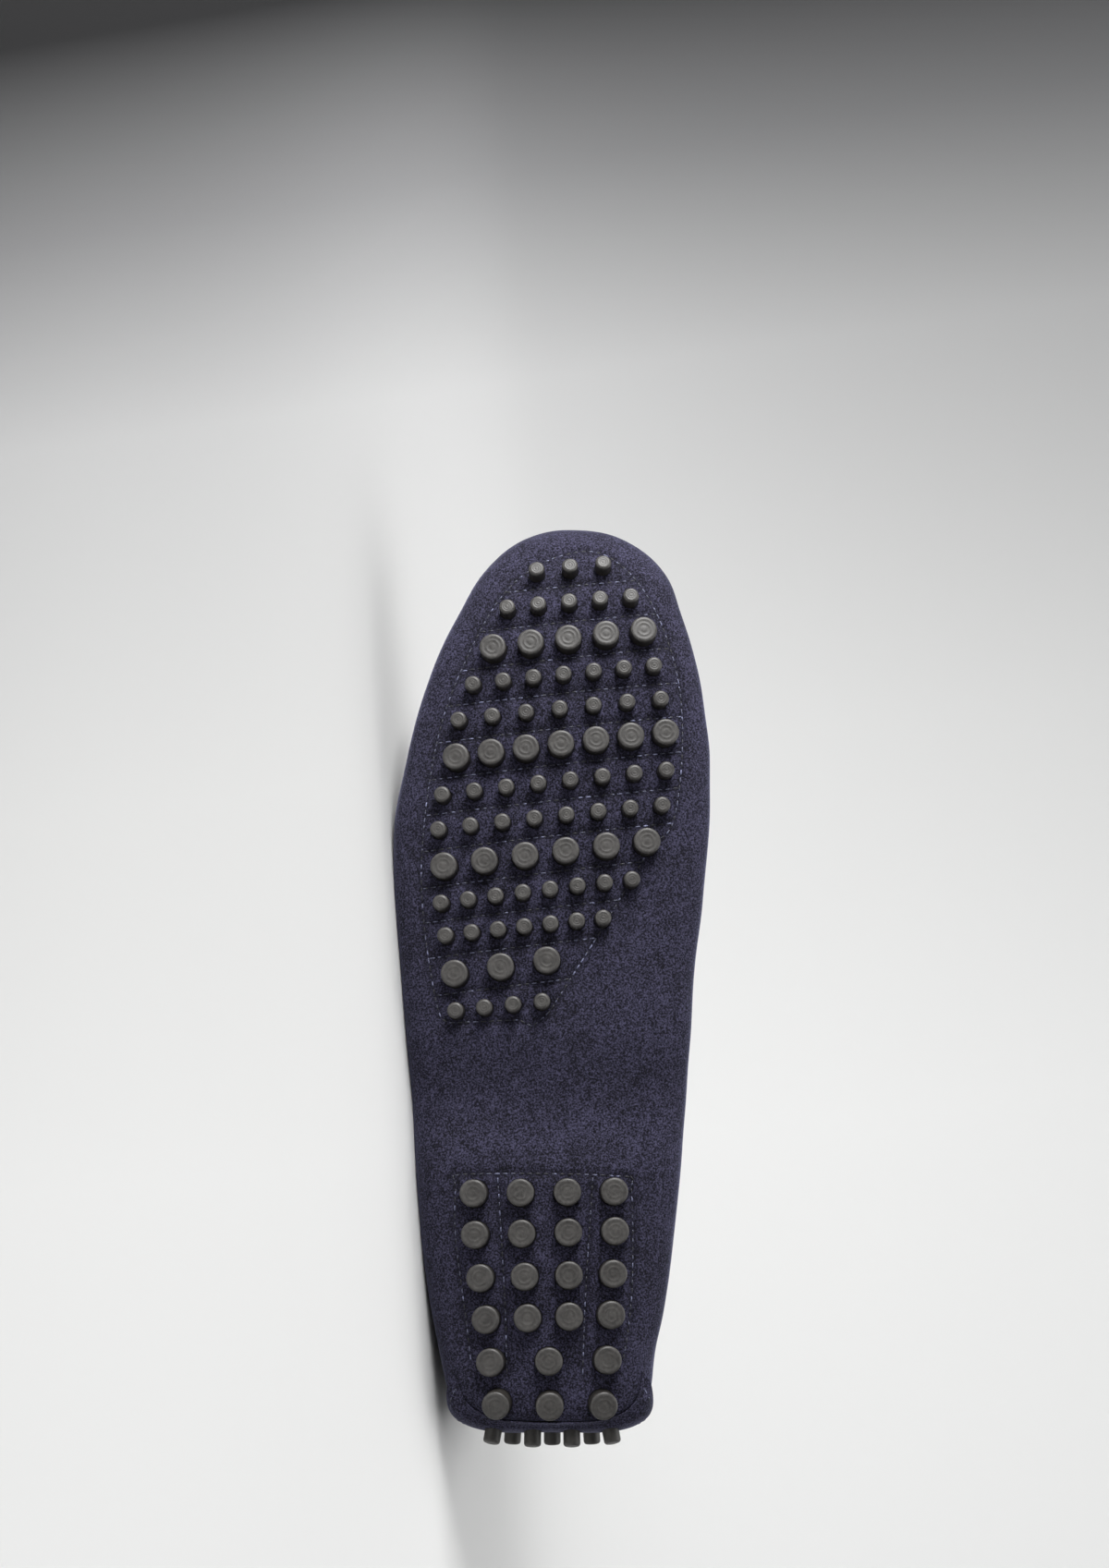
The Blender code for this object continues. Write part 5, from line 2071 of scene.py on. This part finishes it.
@dataclass
class HeelTab:
    """The suede tab behind the heel, over the strip whose pegs stand through it."""

    bench: Bench
    feet: PegFeet
    columns: int = 110
    lines: int = 84
    thickness: float = 0.0013
    strip_gap: float = 0.0004
    strip_thickness: float = 0.0009
    strip_half_width: float = 0.0232
    strip_foot_level: float = -0.36
    strip_top_level: float = 0.30
    foot_half_width: float = 0.0400
    top_half_width: float = 0.0130
    foot_level: float = -0.60
    skived_to: float = -0.38
    skived_share: float = 0.30
    top_level: float = 0.84
    settles_from: float = 0.0060
    settles_to: float = 0.0140
    closes_from: float = 0.13
    closes_to: float = 0.34
    ragged: float = 0.00014
    ragged_longest: float = 0.006
    ragged_shortest: float = 0.0018
    seam_inset: float = 0.0026
    hole_clearance: float = 0.0002
    cut_depth: float = 0.0034
    strip_columns: int = 25
    strip_lines: int = 13
    strip_taper: float = 0.25
    seam_tuck: float = 1.6
    top_seam_share: float = 0.06

    def build(self) -> bpy.types.Object:
        """Build the tab as a sheet with a worn edge and cut the pegs' holes.

        Returns:
            The tab.
        """
        low = self.surface(0.0)
        high = self.surface(self.thickness)
        rows, columns = self._rim()
        inner = (np.clip(rows, 1, self.lines - 1), np.clip(columns, 1, self.columns - 1))
        longest, shortest = self.ragged_longest, self.ragged_shortest
        worn = self.ragged * ripple(high[rows, columns], longest=longest, shortest=shortest)
        for sheet, reach in ((low, worn), (high, worn - self.ragged)):
            sheet[rows, columns] += unit(sheet[rows, columns] - sheet[inner]) * reach[:, None]
        obj = self.bench.lay_piece("heel_tab_cover", closed_body(low, high))
        apply_cut(obj, peg_cutter(self.bench, self.feet, self.cut_depth, self.hole_clearance))
        return obj

    def build_strip(self) -> bpy.types.Object:
        """Build the rubber strip under the tab, with its pegs.

        Returns:
            The strip.
        """
        bench = self.bench
        distance = self.strip_half_width * np.linspace(-1, 1, self.strip_columns)[None]
        rise = np.linspace(0, 1, self.strip_lines)
        level = np.linspace(self.strip_foot_level, self.strip_top_level, self.strip_lines)[:, None]
        narrow = 1 - self.strip_taper * smoothstep(0.0, 1.0, rise)[:, None]
        turn = bench.last.turn_at(distance * narrow)
        place, normal = bench.last.wrap_frame(turn, level)
        low = place + normal * self.strip_gap
        shape = closed_body(low, low + normal * self.strip_thickness)
        pegs = stand_pegs(self.feet)
        # The worn mark carries the pegs' painted light and shade as well as their wear.
        return bench.lay_piece("back_strip_with_pegs", pegs.joined(shape), mark="worn")

    def dress(self, tab: bpy.types.Object, strip: bpy.types.Object) -> None:
        """Hand the tab and its strip over."""
        self.bench.hand_over(tab, self.bench.suede, Slot.SUEDE, "heel_tab")
        self.bench.hand_over(strip, self.bench.rubber, Slot.RUBBER, "back_peg_strip")

    def half_width(self, t: Array) -> Array:
        """Give the tab's half width at a share of its height."""
        narrower = self.top_half_width - self.foot_half_width
        return self.foot_half_width + narrower * smoothstep(0.0, 1.0, t)

    def surface(self, over: float) -> Array:
        """Give a sheet of the tab, some way over its underside.

        Args:
            over: Height over the underside.

        Returns:
            Points in rows from the foot upwards.
        """
        t = np.linspace(0, 1, self.lines + 1)[:, None]
        level = self.foot_level + (self.top_level - self.foot_level) * t
        distance = self.half_width(t) * np.linspace(-1, 1, self.columns + 1)[None]
        turn = self.bench.last.turn_at(distance)
        level = np.broadcast_to(level, turn.shape)
        place, normal = self.bench.last.wrap_frame(turn, level)
        skived = smoothstep(self.foot_level, self.skived_to, level)
        thinned = self.skived_share + (1 - self.skived_share) * skived
        height = (self._lift(distance, level) + over) * thinned
        return place + normal * height[..., None]

    def seam_paths(self) -> list[tuple[Array, Array]]:
        """Give the seams sewn along the tab's edges, with their normals.

        Returns:
            Points and normals of the outer side, the top and the inner side as one path.
        """
        high = self.surface(self.thickness)
        side = self.columns * self.seam_inset / (2 * self.foot_half_width)
        side = round(side * self.seam_tuck)
        top = self.lines - round(self.lines * self.top_seam_share)
        index = [(j, side) for j in range(3, top)]
        index += [(top, i) for i in range(side, self.columns - side + 1)]
        index += [(j, self.columns - side) for j in range(top - 1, 2, -1)]
        normals = unit(np.cross(np.gradient(high, axis=1), np.gradient(high, axis=0)))
        normals = normals * np.sign(-normals[..., :1] + 1e-9)
        rows, columns = np.array(index).T
        return [(high[rows, columns], normals[rows, columns])]

    def _lift(self, distance: Array, level: Array) -> Array:
        """Give the tab's height off the wrap, more where it covers the strip."""
        edge, top = self.strip_half_width, self.strip_top_level
        beside = 1 - smoothstep(edge + self.settles_from, edge + self.settles_to, np.abs(distance))
        above = 1 - smoothstep(top + self.closes_from, top + self.closes_to, level)
        return self.strip_gap + (self.strip_gap + self.strip_thickness) * beside * above

    def _rim(self) -> tuple[Array, Array]:
        """Give the rows and columns of the tab's cut edge."""
        cut = [(j, i) for j in range(self.lines + 1) for i in (0, self.columns)]
        cut += [(j, i) for i in range(1, self.columns) for j in (0, self.lines)]
        return tuple(np.array(cut).T)


@dataclass
class PegUnit:
    """A rubber backing inside the wrap with the pegs that stand through its bottom."""

    bench: Bench
    name: str
    node: str
    feet: PegFeet
    backing: list[dict[str, float]]
    lines: int
    columns: int
    depth: float = 0.0020
    thickness: float = 0.0014

    def build(self) -> bpy.types.Object:
        """Stand the pegs on the backing.

        Returns:
            The unit.
        """
        outer, inner = Column(self.backing, "outer"), Column(self.backing, "inner")
        ends = [self.backing[row]["share"] for row in (0, -1)]
        share = np.linspace(*ends, self.lines + 1)[:, None]
        t = np.linspace(0, 1, self.columns + 1)[None]
        y = self.bench.last.ball_half_width * (outer.at(share) * (1 - t) + inner.at(share) * t)
        x = np.broadcast_to(self.bench.last.length * share, y.shape)
        place, normal = self.bench.last.sole_frame(x, y)
        low = place - normal * self.depth
        sheet = closed_body(low, low - normal * self.thickness)
        pegs = stand_pegs(self.feet)
        # The worn mark carries the pegs' painted light and shade as well as their wear.
        return self.bench.lay_piece(self.name, pegs.joined(sheet), mark="worn")

    def dress(self, obj: bpy.types.Object) -> None:
        """Hand the unit over."""
        self.bench.hand_over(obj, self.bench.rubber, Slot.RUBBER, self.node)


@dataclass
class Insole:
    """The leather footbed, seen through the collar."""

    bench: Bench
    around: int = 320
    across: int = 40
    inset: float = 0.0078
    depth: float = 0.0040
    thickness: float = 0.0022
    soft: float = 0.0007

    def build(self) -> bpy.types.Object:
        """Build the footbed as two sheets joined by a rounded edge.

        Returns:
            The insole.
        """
        last = self.bench.last
        turns, _ = last.stations(self.around, BEND)
        rings = []
        for slip, rise in ((1.0, 0.0), (0.25, 0.25), (0.0, 0.5), (0.25, 0.75), (1.0, 1.0)):
            place, normal = last.sole_frame(*last.plan(turns, self.inset + self.soft * slip))
            rings.append(place - normal * (self.depth + self.thickness * rise))
        rings = np.stack(rings)
        index = numbered(rings)
        faces = grid_faces(closed_rows(index))
        points, count = [rings.reshape(-1, 3)], index.size
        floor = self.depth + self.thickness
        for ring, turned, depth in ((0, False, self.depth), (-1, True, floor)):
            grid, numbers = fill_ring(rings[ring], index[ring], self.across, count)
            inner = grid[1:-1, 1:-1].reshape(-1, 3)
            place, normal = last.sole_frame(inner[:, 0], inner[:, 1])
            points.append(place - normal * depth)
            faces += grid_faces(numbers, turned=turned)
            count += len(inner)
        return self.bench.lay_piece("footbed", Shape.plain(np.concatenate(points), faces))

    def dress(self, obj: bpy.types.Object) -> None:
        """Hand the insole over."""
        self.bench.hand_over(obj, self.bench.lining, Slot.INSOLE, "insole")


@dataclass
class Stitching:
    """Every visible thread of the shoe."""

    bench: Bench
    wrap: SuedeWrap
    apron: Apron
    tab: HeelTab
    sole_stitch: ThreadArch = ThreadArch(span=0.0015, rise=0.00032, gauge=0.00040, sink=0.00024)
    edge_stitch: ThreadArch = ThreadArch(span=0.0018, rise=0.00035, gauge=0.00042, sink=0.00018)
    toe_stitch: ThreadArch = ThreadArch(span=0.0043, rise=0.0020, gauge=0.00085, sides=8, steps=10)
    edge_pitch: float = 0.0029
    toe_pitch: float = 0.0058
    thread_lift: float = 0.00012
    throat_seam_rows: int = 4
    toe_stitch_drop: float = 0.00135
    toe_stitch_slant: float = 0.22
    topline_stations: int = 480
    topline_drop: float = 0.0013
    topline_out: float = 0.0012

    def build(self) -> dict[str, bpy.types.Object]:
        """Build the threads of the bottom, of the toe seam and of the edges.

        Returns:
            The pieces by name.
        """
        shapes = {
            "sole_stitches": self._sole(),
            "toe_seam_stitches": self._toe_seam(),
            "edge_stitches": self._edges(),
        }
        return {name: self.bench.lay_piece(name, shape) for name, shape in shapes.items()}

    def dress(self, pieces: dict[str, bpy.types.Object]) -> None:
        """Hand the threads over."""
        for obj in pieces.values():
            self.bench.hand_over(obj, self.bench.thread, Slot.SUEDE)

    def _sole(self) -> Shape:
        """Sew the bottom's seams."""
        middles, ways = self.wrap.seams.stitch_marks()
        place, normal = self.bench.last.sole_frame(middles[:, 0], middles[:, 1])
        relief = self.wrap.sole_relief(middles) + self.wrap.unevenness * ripple(place)
        place = place + normal * (relief + self.thread_lift)[:, None]
        along = np.concatenate([ways, np.zeros((len(ways), 1))], 1)
        return self.sole_stitch.shape().stamped(place, axes_from(normal, along))

    def _toe_seam(self) -> Shape:
        """Sew the apron to the wrap with thick stitches over both lips."""
        last = self.bench.last
        turns, behind = last.stations(self.apron.around, BEND)
        turns = turns[behind: self.apron.around - behind + 1]
        here, _, _ = last.rim_frame(turns)
        steps = np.concatenate([[0.0], np.cumsum(np.linalg.norm(np.diff(here, axis=0), axis=1))])
        toe = np.interp(0.5, turns, steps)
        first = math.ceil((steps[0] - toe) / self.toe_pitch)
        final = math.floor((steps[-1] - toe) / self.toe_pitch)
        marks = toe + self.toe_pitch * np.arange(first, final + 1)
        here, lip, out = last.rim_frame(np.interp(marks, steps, turns))
        middle = here - out * (last.suede + last.seam_gap / 2)
        middle = middle + lip * (last.seam_lip - self.toe_stitch_drop)
        slant = np.cross(lip, out) * self.toe_stitch_slant
        return self.toe_stitch.shape().stamped(middle, axes_from(lip, out + slant))

    def _edges(self) -> Shape:
        """Sew along the topline, the throat and the tab."""
        last = self.bench.last
        turns, behind = last.stations(self.topline_stations, BEND)
        path = np.concatenate([turns[self.topline_stations - behind:] - 1, turns[: behind + 1]])
        path = path[2:-2]
        here, lip, out = last.rim_frame(path)
        topline = here + lip * (last.seam_lip - self.topline_drop) + out * self.topline_out
        runs = [(topline, out)]
        grid, _ = self.apron.sheet()
        row = self.throat_seam_rows
        normals = grid_normals(grid)
        runs.append((grid[row, 3:-3], normals[row, 3:-3]))
        runs += self.tab.seam_paths()
        parts = [self._run(points, normals) for points, normals in runs]
        return parts[0].joined(*parts[1:])

    def _run(self, points: Array, normals: Array) -> Shape:
        """Sew stitches along a path.

        Args:
            points: Points of the path.
            normals: The surface's normals there.

        Returns:
            The stitches.
        """
        marks = spaced(np.concatenate([points, normals], 1), self.edge_pitch)
        middles = (marks[1:] + marks[:-1]) / 2
        along = np.diff(marks[:, :3], axis=0)
        axes = axes_from(unit(middles[:, 3:]), along)
        return self.edge_stitch.shape().stamped(middles[:, :3], axes)


@dataclass(frozen=True)
class Softbox:
    """A soft square light that looks at the shoe, in metres and watts."""

    name: str
    place: tuple[float, float, float]
    size: float
    power: float

    def hang(self) -> None:
        """Put the light in the scene."""
        data = bpy.data.lights.new(self.name, "AREA")
        data.size = self.size
        data.energy = self.power
        lamp = bpy.data.objects.new(self.name, data)
        lamp.location = self.place
        lamp.rotation_euler = Vector(self.place).to_track_quat("Z", "Y").to_euler()
        bpy.context.scene.collection.objects.link(lamp)


@dataclass(frozen=True)
class StudioSet:
    """A pale sweep, soft light from beyond the toe and the camera over the sole."""

    pose: LyingPose
    half_width: float = 8.0
    front: float = -8.0
    wall_at: float = 1.1
    wall_top: float = 3.2
    sweep_radius: float = 0.8
    lens: float = 60.0
    sensor: float = 36.0
    camera_place: tuple[float, float, float] = (0.0473, 0.0017, -0.8064)
    camera_tilt: float = 10.643
    sky: Colour = (0.96, 0.98, 1.0, 1.0)
    sky_strength: float = 0.21
    lights: tuple[Softbox, ...] = (
        Softbox("key_softbox", (-0.56, -0.48, 0.30), 0.30, 5.9),
        Softbox("toe_softbox", (-0.70, -0.24, 0.30), 0.30, 4.8),
        Softbox("fill_softbox", (0.35, -1.9, 1.15), 1.6, 1.6),
        Softbox("top_softbox", (0.3, 0.3, 1.9), 1.8, 21.0),
    )

    def build(self) -> None:
        """Build the floor, the lights, the sky and the camera."""
        self._floor()
        for light in self.lights:
            light.hang()
        world = bpy.data.worlds.new("studio_sky")
        bpy.context.scene.world = world
        world.use_nodes = True
        background = world.node_tree.nodes["Background"]
        background.inputs["Color"].default_value = self.sky
        background.inputs["Strength"].default_value = self.sky_strength
        bpy.context.scene.view_settings.view_transform = "Standard"
        self._camera()

    def _floor(self) -> None:
        """Model the sweep from a plane: its far edge is drawn up and the fold is rounded."""
        depth = self.wall_at - self.front
        obj = start_editing(
            bpy.ops.mesh.primitive_plane_add, size=1.0, location=(0, self.front + depth / 2, 0),
            scale=(2 * self.half_width, depth, 1.0),
        )
        bpy.ops.mesh.select_mode(type="EDGE")
        bpy.ops.mesh.select_all(action="DESELECT")
        bpy.ops.object.mode_set(mode="OBJECT")
        for vert in obj.data.vertices:
            vert.co.x = math.copysign(self.half_width, vert.co.x)
            vert.co.y = self.front if vert.co.y < self.front + depth / 2 else self.wall_at
        for edge in obj.data.edges:
            edge.select = all(obj.data.vertices[i].co.y > self.wall_at - MM for i in edge.vertices)
        bpy.ops.object.mode_set(mode="EDIT")
        bpy.ops.mesh.extrude_region_move(TRANSFORM_OT_translate={"value": (0, 0, self.wall_top)})
        bpy.ops.mesh.select_all(action="DESELECT")
        bpy.ops.object.mode_set(mode="OBJECT")
        for edge in obj.data.edges:
            ends = [obj.data.vertices[i].co for i in edge.vertices]
            edge.select = all(end.y > self.wall_at - MM and end.z < MM for end in ends)
        bpy.ops.object.mode_set(mode="EDIT")
        bpy.ops.mesh.bevel(offset=self.sweep_radius, segments=24, affect="EDGES")
        bpy.ops.object.mode_set(mode="OBJECT")
        obj.name = "studio_sweep"
        obj.data.shade_smooth()
        obj.data.materials.append(FloorFinish().material("sweep_painted_shade"))

    def _camera(self) -> None:
        """Hang the camera at the photograph's angle to the sole."""
        tilt = math.radians(self.camera_tilt)
        forward = self.pose.way((math.sin(tilt), 0.0, math.cos(tilt)))
        above = self.pose.way((math.cos(tilt), 0.0, -math.sin(tilt)))
        place = self.pose.turn @ np.array(self.camera_place) + self.pose.shift
        data = bpy.data.cameras.new("studio_camera")
        data.lens = self.lens
        data.sensor_width = self.sensor
        camera = bpy.data.objects.new("studio_camera", data)
        turn = Matrix([np.cross(forward, above), above, -forward]).transposed()
        camera.matrix_world = Matrix.LocRotScale(Vector(place), turn.to_quaternion(), None)
        bpy.context.scene.collection.objects.link(camera)
        bpy.context.scene.camera = camera


def main() -> None:
    """Build the shoe piece by piece, then its studio."""
    logging.basicConfig(level=logging.INFO, format="%(name)s: %(message)s")
    last = Last()
    forefoot, heel = PegFeet.on_bottom(last, FOREFOOT_ROWS), PegFeet.on_bottom(last, HEEL_ROWS)
    back = PegFeet.on_tab(last)
    ball_peg = sum(row["count"] for row in FOREFOOT_ROWS[:4]) + 2
    heel_peg = sum(row["count"] for row in HEEL_ROWS[:3]) + 1
    pose = LyingPose.from_pegs({
        "heel_peg_end": heel.tip(last, heel_peg), "ball_peg_end": forefoot.tip(last, ball_peg),
    })
    bench = Bench(
        last, pose, SuedeFinish().material("navy_suede"), RubberFinish().material("grey_rubber"),
        ThreadFinish().material("navy_thread"), LiningFinish().material("dark_lining"),
    )
    both = PegFeet(
        np.concatenate([forefoot.places, heel.places]),
        np.concatenate([forefoot.normals, heel.normals]),
        forefoot.kinds + heel.kinds,
    )
    wrap, apron, tab = SuedeWrap(bench, SoleSeams(last), both), Apron(bench), HeelTab(bench, back)
    for part in (
        PegUnit(bench, "forefoot_pegs", "forefoot_peg_unit", forefoot, FOREFOOT_BACKING, 52, 28),
        PegUnit(bench, "heel_pegs", "heel_peg_unit", heel, HEEL_BACKING, 28, 20),
        Insole(bench), wrap, apron, CollarBinding(bench),
    ):
        part.dress(part.build())
    tab.dress(tab.build(), tab.build_strip())
    stitching = Stitching(bench, wrap, apron, tab)
    stitching.dress(stitching.build())
    StudioSet(pose).build()


if __name__ == "__main__":
    main()
